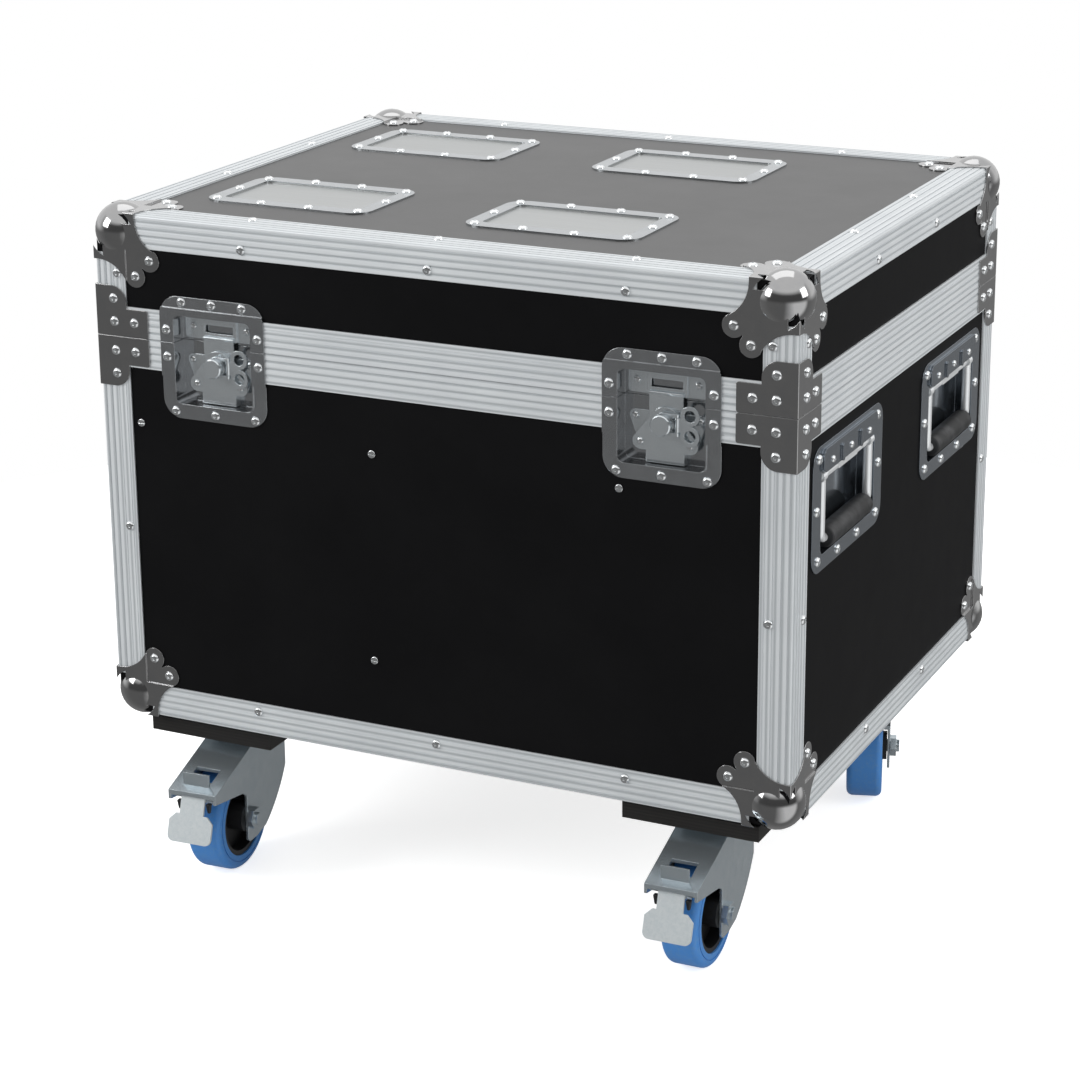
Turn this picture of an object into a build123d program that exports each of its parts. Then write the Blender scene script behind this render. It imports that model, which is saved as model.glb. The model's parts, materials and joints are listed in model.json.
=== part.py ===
from build123d import *
import os
from math import cos, radians, sin, sqrt

os.makedirs("parts", exist_ok=True)

# A wheeled flight case: a plywood base and a hinged lid, edged with aluminium.
# Lengths are in millimetres. The floor is z = 0, the front faces -Y and +Z is up.

# Overall box of the case, over its aluminium edges
case_width = 658.0
case_depth = 532.0
case_height = 468.0
parting_rise = 357.0
case_setback = 19.34
seam = 0.4
overrun = 2.0

# Plywood
panel_thick = 9.0
board_thick = 18.0
board_width = 125.0
board_length = 120.0
board_inset = 30.0
board_relief = 68.0
board_relief_depth = 4.0
board_front_inset = 8.0
divider_height = 285.0
divider_shares = (-0.17477, 0.52888)

# Foam linings
foam_thick = 12.0
lid_foam_thick = 15.0
foam_gap = 0.3
foam_edge_gap = 4.0

# Aluminium edge profiles
edge_sheet = 1.5
edge_leg = 30.0
bead_radius = 2.6
bead_groove_place = 4.6
groove_width = 1.3
groove_depth = 0.5
groove_pitch = 7.4
groove_start = 11.0
groove_count = 3

# Meeting profiles of base and lid
rim_face = 27.3
rim_web = 2.0
rim_inner_leg = 15.0
lid_web = 5.0
tongue_width = 3.0
tongue_height = 2.5
tongue_gap = 0.8
rim_groove_start = 6.2

# Rivets and screws
rivet_radius = 4.4
rivet_rise = 2.2
rivet_bulge = 0.8
rivet_dimple_radius = 1.3
rivet_dimple_depth = 0.9
small_rivet_radius = 3.2
small_rivet_rise = 1.7
small_dimple_radius = 0.9
small_dimple_depth = 0.6
small_rivet_bulge = 0.6
edge_rivet_inset = 21.8
front_rivet_shares = (-0.54711, 0, 0.54711)
side_rivet_shares = (-0.29323, 0.29323)
post_rivet_rise = 180.5
post_rivet_lid_drop = 54.0
screw_radius = 3.6
screw_rise = 1.5
screw_slot_width = 1.2
screw_slot_depth = 0.6
screw_edge_gap = 9.0
screw_high_rise = 279.0
screw_low_rise = 90.0
screw_low_shift = 2.3

# Pressed steel
steel = 1.2
fit_gap = 0.3

# Ball corners
ball_radius = 24.5
ball_inset = 18.5
ball_leg = 42.5
ball_leg_edge = 4.0
ball_window_radius = 30.0
ball_window_width = 9.0
ball_skirt = 9.0
ball_panel_gap = 0.4
lobe_far = 55.5
lobe_near = 40.5
lobe_radius = 10.0
lobe_neck_far = 61.5
lobe_neck_near = 32.5
leg_curve_far = 47.2
leg_curve_near = 20.0
step_place = 30.6
ball_fold_radius = 1.0

# Corner braces at the parting line
brace_arm_width = 30.5
brace_arm_reach = 45.7
brace_bar_reach = 52.0
brace_bar_height = 25.5
brace_round = 15.0
brace_tip_round = 2.0
brace_rivet_near = 17.5
brace_rivet_far = 38.0
brace_rivet_low = 13.2
brace_rivet_high = 34.0

# Latches
latch_inset = 117.0
latch_width = 105.0
latch_low_rise = 288.5
latch_high_rise = 399.0
latch_round = 18.0
latch_step_low_rise = 327.4
latch_step_high_rise = 388.5
pan_width = 80.0
pan_low_rise = 301.0
pan_high_rise = 383.0
pan_depth = 16.0
pan_round = 7.0
latch_top_rivet_rise = 394.0
latch_top_rivet_side = 30.5
latch_side_rivet = 46.0
latch_lid_side_rise = 368.4
latch_base_side_rise = 343.8
latch_bottom_rivet_rise = 294.6
latch_bottom_rivet_side = 40.5

# Latch mechanism, with depths measured behind the meeting profiles' face
knob_rise = 338.0
knob_radius = 9.0
knob_front_depth = -4.0
knob_back_depth = 7.3
knob_chamfer = 1.0
knob_groove_width = 1.0
knob_groove_depth = 0.6
knob_groove_depths = (2.0, 4.2)
shaft_radius = 5.0
shaft_gap = 0.05
shaft_end_depth = 13.3
bracket_depth = 7.6
bracket_thick = 1.5
bracket_ring_radius = 13.0
bracket_foot_offset = 22.0
bracket_foot_rise = 320.0
bracket_foot_radius = 7.0
bracket_ear_offset = 29.0
bracket_ear_rise = 340.0
bracket_ear_radius = 5.0
bracket_tab_width = 34.0
bracket_tab_low_rise = 303.0
bracket_post_radius = 3.8
bracket_base_thick = 1.0
hook_depth = 9.6
hook_thick = 1.6
hook_width = 30.0
hook_top_rise = 362.0
hook_low_rise = 319.0
hook_travel = 8.0
hook_slot_gap = 0.4
hook_lip_radius = 1.2
hook_lip_depth = 9.9
keeper_depth = 11.5
keeper_thick = 1.5
keeper_width = 70.0
keeper_bridge_width = 35.0
keeper_low_rise = 359.5
keeper_high_rise = 380.0
keeper_round = 3.0
keeper_slot_width = 28.0
keeper_slot_low_rise = 366.0
keeper_slot_high_rise = 373.0
keeper_rivet_side = 27.0
keeper_rivet_rise = 370.5
wing_depth = 4.0
wing_thick = 1.4
wing_hinge_offset = 11.8
wing_barrel_radius = 2.0
wing_barrel_length = 12.0
wing_pin_radius = 1.1
wing_lobe_offset = 23.2
wing_lobe_spread = 8.6
wing_lobe_radius = 8.4
wing_hole_radius = 5.0
ear_length = 3.0
ear_gap = 0.3

# Spring handles
handle_inset = 126.0
handle_rise = 264.0
handle_width = 172.0
handle_height = 109.0
handle_round = 17.0
hand_pan_width = 134.0
hand_pan_height = 81.0
hand_pan_drop = 1.5
hand_pan_depth = 17.5
hand_pan_round = 8.0
hand_corner_rivet_side = 72.0
hand_corner_rivet_rise = 44.0
hand_side_rivet = 76.0
hand_low_rivet_side = 24.0
hand_low_rivet_drop = 47.5
hinge_cover_width = 132.0
hinge_cover_low = 30.5
hinge_cover_high = 50.5
hinge_cover_rise = 2.4
hinge_cover_round = 6.0
cover_rivet_side = 45.0
cover_rivet_rise = 37.5
cover_rib_side = 22.5
cover_rib_width = 5.0
cover_rib_rise = 1.6
bail_axis_rise = 25.5
bail_axis_depth = 3.6
bail_radius = 4.0
bail_spread = 58.0
bail_eye_radius = 4.6
bail_eye_length = 8.0
bail_drop = 55.0
bail_bend = 8.0
grip_radius = 9.5
grip_length = 99.0
grip_gap = 0.05
grip_round = 2.0
bar_radius = 2.5
bar_gap = 0.05
spring_block = 5.6
spring_block_length = 46.0
spring_side_block = 4.4
spring_side_length = 24.0
spring_side_gap = 1.0

# Dishes in the lid for another case's wheels
dish_x_shares = (-0.56839, 0.21277)
dish_y_shares = (-0.48872, 0.48872)
dish_width = 164.0
dish_length = 109.0
dish_round = 18.0
dish_pan_width = 139.0
dish_pan_length = 80.0
dish_pan_depth = 3.5
dish_pan_round = 6.0
dish_corner_rivet_x = 71.5
dish_corner_rivet_y = 45.0
dish_long_rivet_x = 24.0
dish_long_rivet_y = 48.5
dish_short_rivet_x = 75.0

# Lid hinges at the back
hinge_inset = 149.0
hinge_width = 90.0
hinge_leaf_height = 24.0
hinge_knuckle = 30.0
hinge_radius = 4.5
hinge_pin_radius = 2.5
hinge_axis_out = 5.0
hinge_gap = 0.05
hinge_play = 0.5
hinge_rivet_side = 30.0
hinge_rivet_rise = 14.5

# Castors
castor_height = 131.0
plate_length = 105.0
plate_width = 85.0
plate_thick = 3.0
plate_round = 6.0
bolt_spacing_long = 80.0
bolt_spacing_wide = 60.0
bolt_radius = 4.0
bolt_flats = 13.0
bolt_head = 5.5
race_radius = 31.0
race_height = 8.0
race_fillet = 2.5
king_radius = 6.0
king_head_radius = 9.5
king_head = 4.0
swivel_gap = 0.5
trail = 40.0
wheel_radius = 50.0
tyre_width = 34.0
tyre_inner_radius = 37.0
tyre_shoulder = 6.0
tyre_rib_radius = 43.0
tyre_rib_width = 1.2
tyre_rib_depth = 0.7
hub_width = 42.0
hub_rim_width = 31.0
hub_rim = 4.5
hub_boss_radius = 14.0
hub_web = 8.0
axle_radius = 6.0
axle_gap = 0.05
axle_head_flats = 18.0
axle_head = 6.0
axle_nut_extra = 3.0
fork_inner = 43.0
fork_sheet = 2.5
crown_thick = 3.0
crown_back = 30.0
crown_front = 34.0
apron_tip = 105.0
apron_tip_height = 97.0
apron_tip_depth = 9.0
apron_lip = 4.0
leg_front = 46.5
leg_arch_out = 54.0
leg_arch_height = 79.0
leg_tip_height = 27.0
leg_tip_back = 30.0
leg_heel_out = 12.0
leg_heel_height = 31.0
leg_bow_out = -14.0
leg_bow_height = 53.0
leg_back_out = -30.0
leg_back_height = 76.0
leg_round = 5.0
slot_from = 72.0
slot_to = 89.0
slot_width = 24.0
tab_width = 26.0
tab_place = 95.0
tab_height = 13.0
tab_thick = 2.0

# Brake pedals on the front castors
pedal_axis_out = 99.0
pedal_axis_height = 91.0
pedal_barrel_radius = 3.6
pedal_pin_radius = 2.0
pedal_neck_width = 24.0
pedal_neck_drop = 16.0
pedal_width = 44.0
pedal_drop = 42.0
pedal_corner = 6.0
pedal_thick = 2.0
pedal_lean = 18.0
pedal_shoe_width = 20.0
pedal_shoe_thick = 3.0
pedal_shoe_gap = 0.4

# Swivel angle of each castor, as the direction its wheel trails
front_left_angle = 273.0
front_right_angle = 271.0
back_right_angle = 288.0
back_left_angle = 280.0

# Places worked out from the sizes above
half_width = case_width / 2
half_depth = case_depth / 2
centre_y = case_setback
front_y = centre_y - half_depth
back_y = centre_y + half_depth
case_bottom = castor_height + board_thick
case_top = case_bottom + case_height
parting_z = case_bottom + parting_rise
panel_inner = edge_sheet + panel_thick
ball_spread = sqrt(ball_radius**2 - (ball_inset - edge_sheet) ** 2)
edge_stop = ball_inset + ball_spread + fit_gap
rim_reach = panel_inner + edge_sheet
base_panel_top = parting_z - seam / 2 - rim_web
lid_panel_bottom = parting_z + seam / 2 + lid_web
pan_back = pan_depth + fit_gap
pan_height = pan_high_rise - pan_low_rise
pan_middle = case_bottom + (pan_low_rise + pan_high_rise) / 2
board_x = half_width - board_inset - board_width / 2
board_y = half_depth - board_front_inset - board_length / 2
latch_offset = half_width - latch_inset
latch_xs = (-latch_offset, latch_offset)
handle_offset = half_depth - handle_inset
hinge_offset = half_width - hinge_inset
divider_xs = [share * half_width for share in divider_shares]
sides = ("left", "right")

# Face planes: local X runs along the face, local Y is up from the floor, local Z points out
front_face = Plane(origin=(0, front_y, 0), x_dir=(1, 0, 0), z_dir=(0, -1, 0))
back_face = Plane(origin=(0, back_y, 0), x_dir=(-1, 0, 0), z_dir=(0, 1, 0))
left_face = Plane(origin=(-half_width, centre_y, 0), x_dir=(0, -1, 0), z_dir=(-1, 0, 0))
right_face = Plane(origin=(half_width, centre_y, 0), x_dir=(0, 1, 0), z_dir=(1, 0, 0))
top_face = Plane(origin=(0, centre_y, case_top), x_dir=(1, 0, 0), z_dir=(0, 0, 1))
wall_faces = (
    (front_face, case_width),
    (back_face, case_width),
    (left_face, case_depth),
    (right_face, case_depth),
)


def on_face(face, across, up, out):
    """A place on a face plane, given along it, up it and out of it."""
    return face.location * Location((across, up, out))


def edge_profile():
    """Sketch the grooved angle section, its outer corner at the sketch's origin."""
    with BuildLine() as outline:
        Polyline(
            (-bead_radius, 0),
            (-edge_leg, 0),
            (-edge_leg, -edge_sheet),
            (-edge_sheet, -edge_sheet),
            (-edge_sheet, -edge_leg),
            (0, -edge_leg),
            (0, -bead_radius),
        )
        CenterArc((-bead_radius, -bead_radius), bead_radius, 0, 90)
    make_face(outline.edges())
    places = [groove_start + step * groove_pitch for step in range(groove_count)]
    for place in [bead_groove_place] + places:
        with Locations((-place, 0)):
            Rectangle(groove_width, 2 * groove_depth, mode=Mode.SUBTRACT)
        with Locations((0, -place)):
            Rectangle(2 * groove_depth, groove_width, mode=Mode.SUBTRACT)


def edge_plane(first_out, second_out, middle, length):
    """Plane across an edge profile, at the end that its run starts from."""
    run = Vector(*first_out).cross(Vector(*second_out))
    return Plane(origin=Vector(*middle) - run * (length / 2), x_dir=first_out, z_dir=run)


def level_edges(z, outward):
    """The four level edges at one height, each as a section plane and a length."""
    found = []
    for side in (-1, 1):
        length = case_width - 2 * edge_stop
        middle = (0, centre_y + side * half_depth, z)
        found.append((edge_plane((0, side, 0), (0, 0, outward), middle, length), length))
        length = case_depth - 2 * edge_stop
        middle = (side * half_width, centre_y, z)
        found.append((edge_plane((side, 0, 0), (0, 0, outward), middle, length), length))
    return found


def corner_posts(low, high):
    """The four upright edges between two heights, each as a section plane and a length."""
    found = []
    for side in (-1, 1):
        for end in (-1, 1):
            middle = (side * half_width, centre_y + end * half_depth, (low + high) / 2)
            found.append((edge_plane((side, 0, 0), (0, end, 0), middle, high - low), high - low))
    return found


def corner_plane(side, end, level, z):
    """Plane at a corner of the box whose axes all point inwards along its three edges."""
    spot = (side * half_width, centre_y + end * half_depth, z)
    up = (0, 0, -level)
    if side * end * level < 0:
        return Plane(origin=spot, x_dir=(-side, 0, 0), z_dir=up)
    return Plane(origin=spot, x_dir=(0, -end, 0), z_dir=up)


def domed_head(radius, rise, bulge, dimple_radius, dimple_depth):
    """A domed rivet head with a dimple, standing on the origin."""
    with BuildPart() as head:
        with BuildSketch(Plane.XZ):
            with BuildLine():
                Line((0, 0), (radius, 0))
                SagittaArc((radius, 0), (dimple_radius, rise), -bulge)
                Polyline(
                    (dimple_radius, rise),
                    (dimple_radius, rise - dimple_depth),
                    (0, rise - dimple_depth),
                    (0, 0),
                )
            make_face()
        revolve(axis=Axis.Z)
    return head.part


# Patterns that repeat: rivet heads and the screw head
rivet_head = domed_head(
    rivet_radius, rivet_rise, rivet_bulge, rivet_dimple_radius, rivet_dimple_depth
)
small_rivet_head = domed_head(
    small_rivet_radius, small_rivet_rise, small_rivet_bulge, small_dimple_radius, small_dimple_depth
)

with BuildPart() as screw_head:
    Cylinder(screw_radius, screw_rise, align=(Align.CENTER, Align.CENTER, Align.MIN))
    fillet(screw_head.edges().group_by(Axis.Z)[-1], screw_rise - screw_slot_depth)
    with Locations((0, 0, screw_rise)):
        Box(2 * screw_radius, screw_slot_width, 2 * screw_slot_depth, mode=Mode.SUBTRACT)

# Room that a latch dish and the ball corners need in panels and profiles
with BuildPart() as latch_room:
    with BuildSketch(front_face.offset(overrun)):
        for latch_x in latch_xs:
            with Locations((latch_x, pan_middle)):
                Rectangle(pan_width + 2 * fit_gap, pan_height + 2 * fit_gap)
    extrude(amount=-(pan_back + overrun))

with BuildPart() as ball_room:
    Box(ball_inset, ball_inset, ball_inset, align=Align.MIN)
    with Locations((ball_inset, ball_inset, ball_inset)):
        Sphere(ball_radius + ball_panel_gap)

base_corner_spots = [
    corner_plane(side, end, -1, case_bottom).location for side in (-1, 1) for end in (-1, 1)
]
lid_corner_spots = [
    corner_plane(side, end, 1, case_top).location for side in (-1, 1) for end in (-1, 1)
]

# Wall panels of the base
wall_sizes = (
    ("front", front_face, case_width - 2 * edge_sheet),
    ("back", back_face, case_width - 2 * edge_sheet),
)
for name, face, width in wall_sizes:
    with BuildPart() as wall:
        with BuildSketch(face.offset(-edge_sheet)):
            with Locations((0, (case_bottom + edge_sheet + base_panel_top) / 2)):
                Rectangle(width, base_panel_top - case_bottom - edge_sheet)
        extrude(amount=-panel_thick)
        if name == "front":
            add(latch_room.part, mode=Mode.SUBTRACT)
        with Locations(*base_corner_spots):
            add(ball_room.part, mode=Mode.SUBTRACT)
    wall.part.label = f"base_{name}_panel"
    export_step(wall.part, f"parts/base_{name}_panel.step")

side_panel_length = case_depth - 2 * panel_inner
handle_spots = [
    (face, side * handle_offset) for face in (left_face, right_face) for side in (-1, 1)
]
with BuildPart() as base_side_panels:
    for face in (left_face, right_face):
        with BuildSketch(face.offset(-edge_sheet)):
            with Locations((0, (case_bottom + edge_sheet + base_panel_top) / 2)):
                Rectangle(side_panel_length, base_panel_top - case_bottom - edge_sheet)
            for side in (-1, 1):
                with Locations((side * handle_offset, case_bottom + handle_rise - hand_pan_drop)):
                    Rectangle(
                        hand_pan_width + 2 * fit_gap, hand_pan_height + 2 * fit_gap, mode=Mode.SUBTRACT
                    )
        extrude(amount=-panel_thick)
    with Locations(*base_corner_spots):
        add(ball_room.part, mode=Mode.SUBTRACT)
base_side_panels.part.label = "base_side_panels"
export_step(base_side_panels.part, "parts/base_side_panels.step")

with BuildPart() as base_floor:
    with BuildSketch(Plane.XY.offset(case_bottom + edge_sheet)):
        with Locations((0, centre_y)):
            Rectangle(case_width - 2 * panel_inner, case_depth - 2 * panel_inner)
    extrude(amount=panel_thick)
    with Locations(*base_corner_spots):
        add(ball_room.part, mode=Mode.SUBTRACT)
base_floor.part.label = "base_floor"
export_step(base_floor.part, "parts/base_floor.step")

# Wall panels and top of the lid
with BuildPart() as lid_wall_panels:
    for face, width in wall_faces:
        wall_width = width - 2 * (edge_sheet if width == case_width else panel_inner)
        with BuildSketch(face.offset(-edge_sheet)):
            with Locations((0, (lid_panel_bottom + case_top - edge_sheet) / 2)):
                Rectangle(wall_width, case_top - edge_sheet - lid_panel_bottom)
        extrude(amount=-panel_thick)
    add(latch_room.part, mode=Mode.SUBTRACT)
    with Locations(*lid_corner_spots):
        add(ball_room.part, mode=Mode.SUBTRACT)
lid_wall_panels.part.label = "lid_wall_panels"
export_step(lid_wall_panels.part, "parts/lid_wall_panels.step")

dish_spots = [(x * half_width, y * half_depth) for x in dish_x_shares for y in dish_y_shares]
with BuildPart() as lid_top_panel:
    with BuildSketch(top_face.offset(-edge_sheet)):
        Rectangle(case_width - 2 * panel_inner, case_depth - 2 * panel_inner)
    extrude(amount=-panel_thick)
    with BuildSketch(top_face.offset(-edge_sheet)):
        with Locations(*dish_spots):
            RectangleRounded(
                dish_pan_width + 2 * fit_gap, dish_pan_length + 2 * fit_gap, dish_pan_round + fit_gap
            )
    extrude(amount=edge_sheet - dish_pan_depth - fit_gap, mode=Mode.SUBTRACT)
    with Locations(*lid_corner_spots):
        add(ball_room.part, mode=Mode.SUBTRACT)
lid_top_panel.part.label = "lid_top_panel"
export_step(lid_top_panel.part, "parts/lid_top_panel.step")

# Aluminium edge profiles
edge_runs = (
    (
        "base_edge_profiles",
        level_edges(case_bottom, -1) + corner_posts(case_bottom + edge_stop, parting_z - seam / 2),
    ),
    (
        "lid_edge_profiles",
        level_edges(case_top, 1) + corner_posts(parting_z + seam / 2, case_top - edge_stop),
    ),
)
for name, runs in edge_runs:
    with BuildPart() as edge_profiles:
        for plane, length in runs:
            with BuildSketch(plane):
                edge_profile()
            extrude(amount=length)
    edge_profiles.part.label = name
    export_step(edge_profiles.part, f"parts/{name}.step")


def rim_profile(up, web):
    """Sketch a meeting profile that wraps a panel's edge, base (up = -1) or lid (up = 1)."""
    away = Align.MIN if up > 0 else Align.MAX
    near = up * seam / 2
    with Locations((0, near)):
        Rectangle(edge_sheet, rim_face - seam / 2, align=(Align.MAX, away))
        Rectangle(rim_reach, web, align=(Align.MAX, away))
    with Locations((edge_sheet - rim_reach, near)):
        Rectangle(edge_sheet, rim_inner_leg, align=(Align.MAX, away))
    for step in range(groove_count):
        with Locations((0, up * (rim_groove_start + step * groove_pitch))):
            Rectangle(2 * groove_depth, groove_width, mode=Mode.SUBTRACT)


# Meeting profiles: the base has a tongue and the lid a groove over it
rim_runs = [
    (edge_plane(tuple(face.z_dir), (0, 0, 1), (face.origin.X, face.origin.Y, parting_z), length), length)
    for face, length in ((face, width - 2 * edge_leg) for face, width in wall_faces)
]
with BuildPart() as base_rim:
    for plane, length in rim_runs:
        with BuildSketch(plane):
            rim_profile(-1, rim_web)
            with Locations((-rim_reach / 2, -seam / 2)):
                Rectangle(tongue_width, tongue_height + seam / 2, align=(Align.CENTER, Align.MIN))
        extrude(amount=length)
    add(latch_room.part, mode=Mode.SUBTRACT)
base_rim.part.label = "base_rim"
export_step(base_rim.part, "parts/base_rim.step")

with BuildPart() as lid_rim:
    for plane, length in rim_runs:
        with BuildSketch(plane):
            rim_profile(1, lid_web)
            with Locations((-rim_reach / 2, 0)):
                Rectangle(
                    tongue_width + 2 * tongue_gap,
                    tongue_height + tongue_gap,
                    align=(Align.CENTER, Align.MIN),
                    mode=Mode.SUBTRACT,
                )
        extrude(amount=length)
    add(latch_room.part, mode=Mode.SUBTRACT)
lid_rim.part.label = "lid_rim"
export_step(lid_rim.part, "parts/lid_rim.step")


def corner_outline():
    """Sketch one plate of a ball corner: two legs and two riveted lobes."""
    with BuildLine() as outline:
        Polyline((-steel, -steel), (ball_leg, -steel), (ball_leg, ball_leg_edge))
        ThreePointArc(
            (ball_leg, ball_leg_edge), (leg_curve_far, leg_curve_near), (lobe_neck_far, lobe_neck_near)
        )
        Polyline(
            (lobe_neck_far, lobe_neck_near),
            (lobe_far, lobe_near),
            (lobe_near, lobe_far),
            (lobe_neck_near, lobe_neck_far),
        )
        ThreePointArc(
            (lobe_neck_near, lobe_neck_far), (leg_curve_near, leg_curve_far), (ball_leg_edge, ball_leg)
        )
        Polyline((ball_leg_edge, ball_leg), (-steel, ball_leg), (-steel, -steel))
    make_face(outline.edges())
    with Locations((lobe_far, lobe_near), (lobe_near, lobe_far)):
        Circle(lobe_radius)


# Ball corner, drawn with all three axes pointing into the case
corner_reach = lobe_far + lobe_radius
ball_spot = (ball_inset, ball_inset, ball_inset)
with BuildPart() as ball_window:
    for plane in (Plane.XY, Plane.YZ, Plane.ZX):
        with BuildSketch(plane):
            Rectangle(2 * ball_window_width, 2 * ball_window_width)
        extrude(amount=ball_inset + ball_window_radius)
    with Locations(ball_spot):
        Sphere(ball_window_radius, mode=Mode.INTERSECT)
    Box(2 * ball_inset, 2 * ball_inset, 2 * ball_inset)

with BuildPart() as ball_shell:
    with Locations(ball_spot):
        Sphere(ball_radius)
        Sphere(ball_radius - steel, mode=Mode.SUBTRACT)
    with Locations((ball_skirt, ball_skirt, ball_skirt)):
        Box(corner_reach, corner_reach, corner_reach, align=Align.MIN, mode=Mode.SUBTRACT)

with BuildPart() as ball_corner:
    for plane in (Plane.XY, Plane.YZ, Plane.ZX):
        with BuildSketch(plane.offset(-steel)):
            corner_outline()
            with Locations((step_place + steel, step_place + steel)):
                Rectangle(corner_reach, corner_reach, align=Align.MIN, mode=Mode.SUBTRACT)
        extrude(amount=steel)
        with BuildSketch(plane.offset(edge_sheet)):
            corner_outline()
            with Locations((step_place, step_place)):
                Rectangle(corner_reach, corner_reach, align=Align.MIN, mode=Mode.INTERSECT)
        extrude(amount=-steel)
        with BuildSketch(plane.offset(edge_sheet)):
            corner_outline()
            with Locations((step_place, step_place)):
                Rectangle(corner_reach, corner_reach, align=Align.MIN, mode=Mode.INTERSECT)
            with Locations((step_place + steel, step_place + steel)):
                Rectangle(corner_reach, corner_reach, align=Align.MIN, mode=Mode.SUBTRACT)
        extrude(amount=-(edge_sheet + steel))
    add(ball_window.part, mode=Mode.SUBTRACT)
    with Locations(ball_spot):
        Sphere(ball_radius - steel, mode=Mode.SUBTRACT)
    folds = [
        edge
        for axis in (Axis.X, Axis.Y, Axis.Z)
        for edge in ball_corner.edges().filter_by(axis)
        if sorted(tuple(edge.center()))[1] < -steel / 2 and edge.length > ball_leg_edge
    ]
    fillet(folds, ball_fold_radius)
    add(ball_shell.part)

for name, spots in (("base_ball_corners", base_corner_spots), ("lid_ball_corners", lid_corner_spots)):
    with BuildPart() as ball_corners:
        with Locations(*spots):
            add(ball_corner.part)
    ball_corners.part.label = name
    export_step(ball_corners.part, f"parts/{name}.step")

# Corner brace, drawn with two axes pointing into the case and the third away from the parting
with BuildPart() as brace:
    brace_planes = (
        (Plane(origin=(0, 0, 0), x_dir=(1, 0, 0), z_dir=(0, -1, 0)), steel),
        (Plane(origin=(0, 0, 0), x_dir=(0, 1, 0), z_dir=(1, 0, 0)), -steel),
    )
    for plane, outward in brace_planes:
        with BuildSketch(plane) as brace_plate:
            with BuildLine():
                Polyline(
                    (-steel, seam / 2),
                    (brace_bar_reach, seam / 2),
                    (brace_bar_reach, brace_bar_height),
                    (brace_arm_width, brace_bar_height),
                    (brace_arm_width, brace_arm_reach),
                    (-steel, brace_arm_reach),
                    close=True,
                )
            make_face()
            tips = ((brace_bar_reach, seam / 2), (brace_bar_reach, brace_bar_height))
            for tip in tips:
                fillet(brace_plate.vertices().sort_by_distance((*tip, 0))[0], brace_tip_round)
            arm_end = (brace_arm_width, brace_arm_reach, 0)
            fillet(brace_plate.vertices().sort_by_distance(arm_end)[0], brace_round)
        extrude(amount=outward)
    fold = brace.edges().filter_by(Axis.Z).sort_by_distance((-steel, -steel, 0))[0]
    fillet(fold, ball_fold_radius)

for name, level in (("base_corner_braces", 1), ("lid_corner_braces", -1)):
    with BuildPart() as braces:
        spots = [
            corner_plane(side, end, level, parting_z).location for side in (-1, 1) for end in (-1, 1)
        ]
        with Locations(*spots):
            add(brace.part)
    braces.part.label = name
    export_step(braces.part, f"parts/{name}.step")

# Latch dish, drawn whole on the front and then cut at the parting line
latch_low = case_bottom + latch_low_rise
latch_high = case_bottom + latch_high_rise
step_low = case_bottom + latch_step_low_rise
step_high = case_bottom + latch_step_high_rise
flange_levels = (
    (0, steel, step_low - steel, step_high),
    (-edge_sheet, steel, latch_low, step_low),
    (-edge_sheet, steel, step_high - steel, latch_high),
    (-edge_sheet, edge_sheet + steel, step_low - steel, step_low),
    (-edge_sheet, edge_sheet + steel, step_high - steel, step_high),
)
with BuildPart() as latch_dish:
    for latch_x in latch_xs:
        for out, thick, low, high in flange_levels:
            with BuildSketch(front_face.offset(out)):
                with Locations((latch_x, (latch_low + latch_high) / 2)):
                    RectangleRounded(latch_width, latch_high - latch_low, latch_round)
                with Locations((latch_x, (low + high) / 2)):
                    Rectangle(latch_width, high - low, mode=Mode.INTERSECT)
            extrude(amount=thick)
        with BuildSketch(front_face.offset(steel)):
            with Locations((latch_x, pan_middle)):
                RectangleRounded(pan_width, pan_height, pan_round)
        extrude(amount=-(pan_depth + steel))
        with BuildSketch(front_face.offset(steel)):
            with Locations((latch_x, pan_middle)):
                RectangleRounded(pan_width - 2 * steel, pan_height - 2 * steel, pan_round - steel)
        extrude(amount=-pan_depth, mode=Mode.SUBTRACT)

latch_halves = (
    ("base_latch_dishes", parting_z - seam / 2, Keep.BOTTOM),
    ("lid_latch_dishes", parting_z + seam / 2, Keep.TOP),
)
for name, level, kept in latch_halves:
    with BuildPart() as latch_half:
        add(latch_dish.part)
        split(bisect_by=Plane.XY.offset(level), keep=kept)
    latch_half.part.label = name
    export_step(latch_half.part, f"parts/{name}.step")

# Latch bracket: a three-cornered plate on posts, with a base plate on the dish's floor
knob_z = case_bottom + knob_rise
foot_z = case_bottom + bracket_foot_rise
ear_z = case_bottom + bracket_ear_rise
floor_depth = pan_depth - steel
with BuildPart() as latch_brackets:
    for latch_x in latch_xs:
        feet = [(latch_x + side * bracket_foot_offset, foot_z) for side in (-1, 1)]
        ears = [(latch_x + side * bracket_ear_offset, ear_z) for side in (-1, 1)]
        with BuildSketch(front_face.offset(-bracket_depth)):
            with Locations((latch_x, knob_z)):
                Circle(bracket_ring_radius)
            with Locations(*feet):
                Circle(bracket_foot_radius)
            make_hull()
            with Locations((latch_x, knob_z)):
                Circle(shaft_radius + shaft_gap, mode=Mode.SUBTRACT)
        extrude(amount=-bracket_thick)
        with BuildSketch(front_face.offset(-bracket_depth)):
            with Locations(*feet):
                Circle(bracket_post_radius)
            with Locations((latch_x, case_bottom + bracket_tab_low_rise)):
                Rectangle(
                    bracket_tab_width,
                    bracket_foot_rise - bracket_foot_radius - bracket_tab_low_rise + steel,
                    align=(Align.CENTER, Align.MIN),
                )
        extrude(amount=bracket_depth - floor_depth)
        with BuildSketch(front_face.offset(-floor_depth)):
            with Locations(*feet, *ears):
                Circle(bracket_ear_radius)
            make_hull()
        extrude(amount=bracket_base_thick)
latch_brackets.part.label = "latch_brackets"
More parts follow.
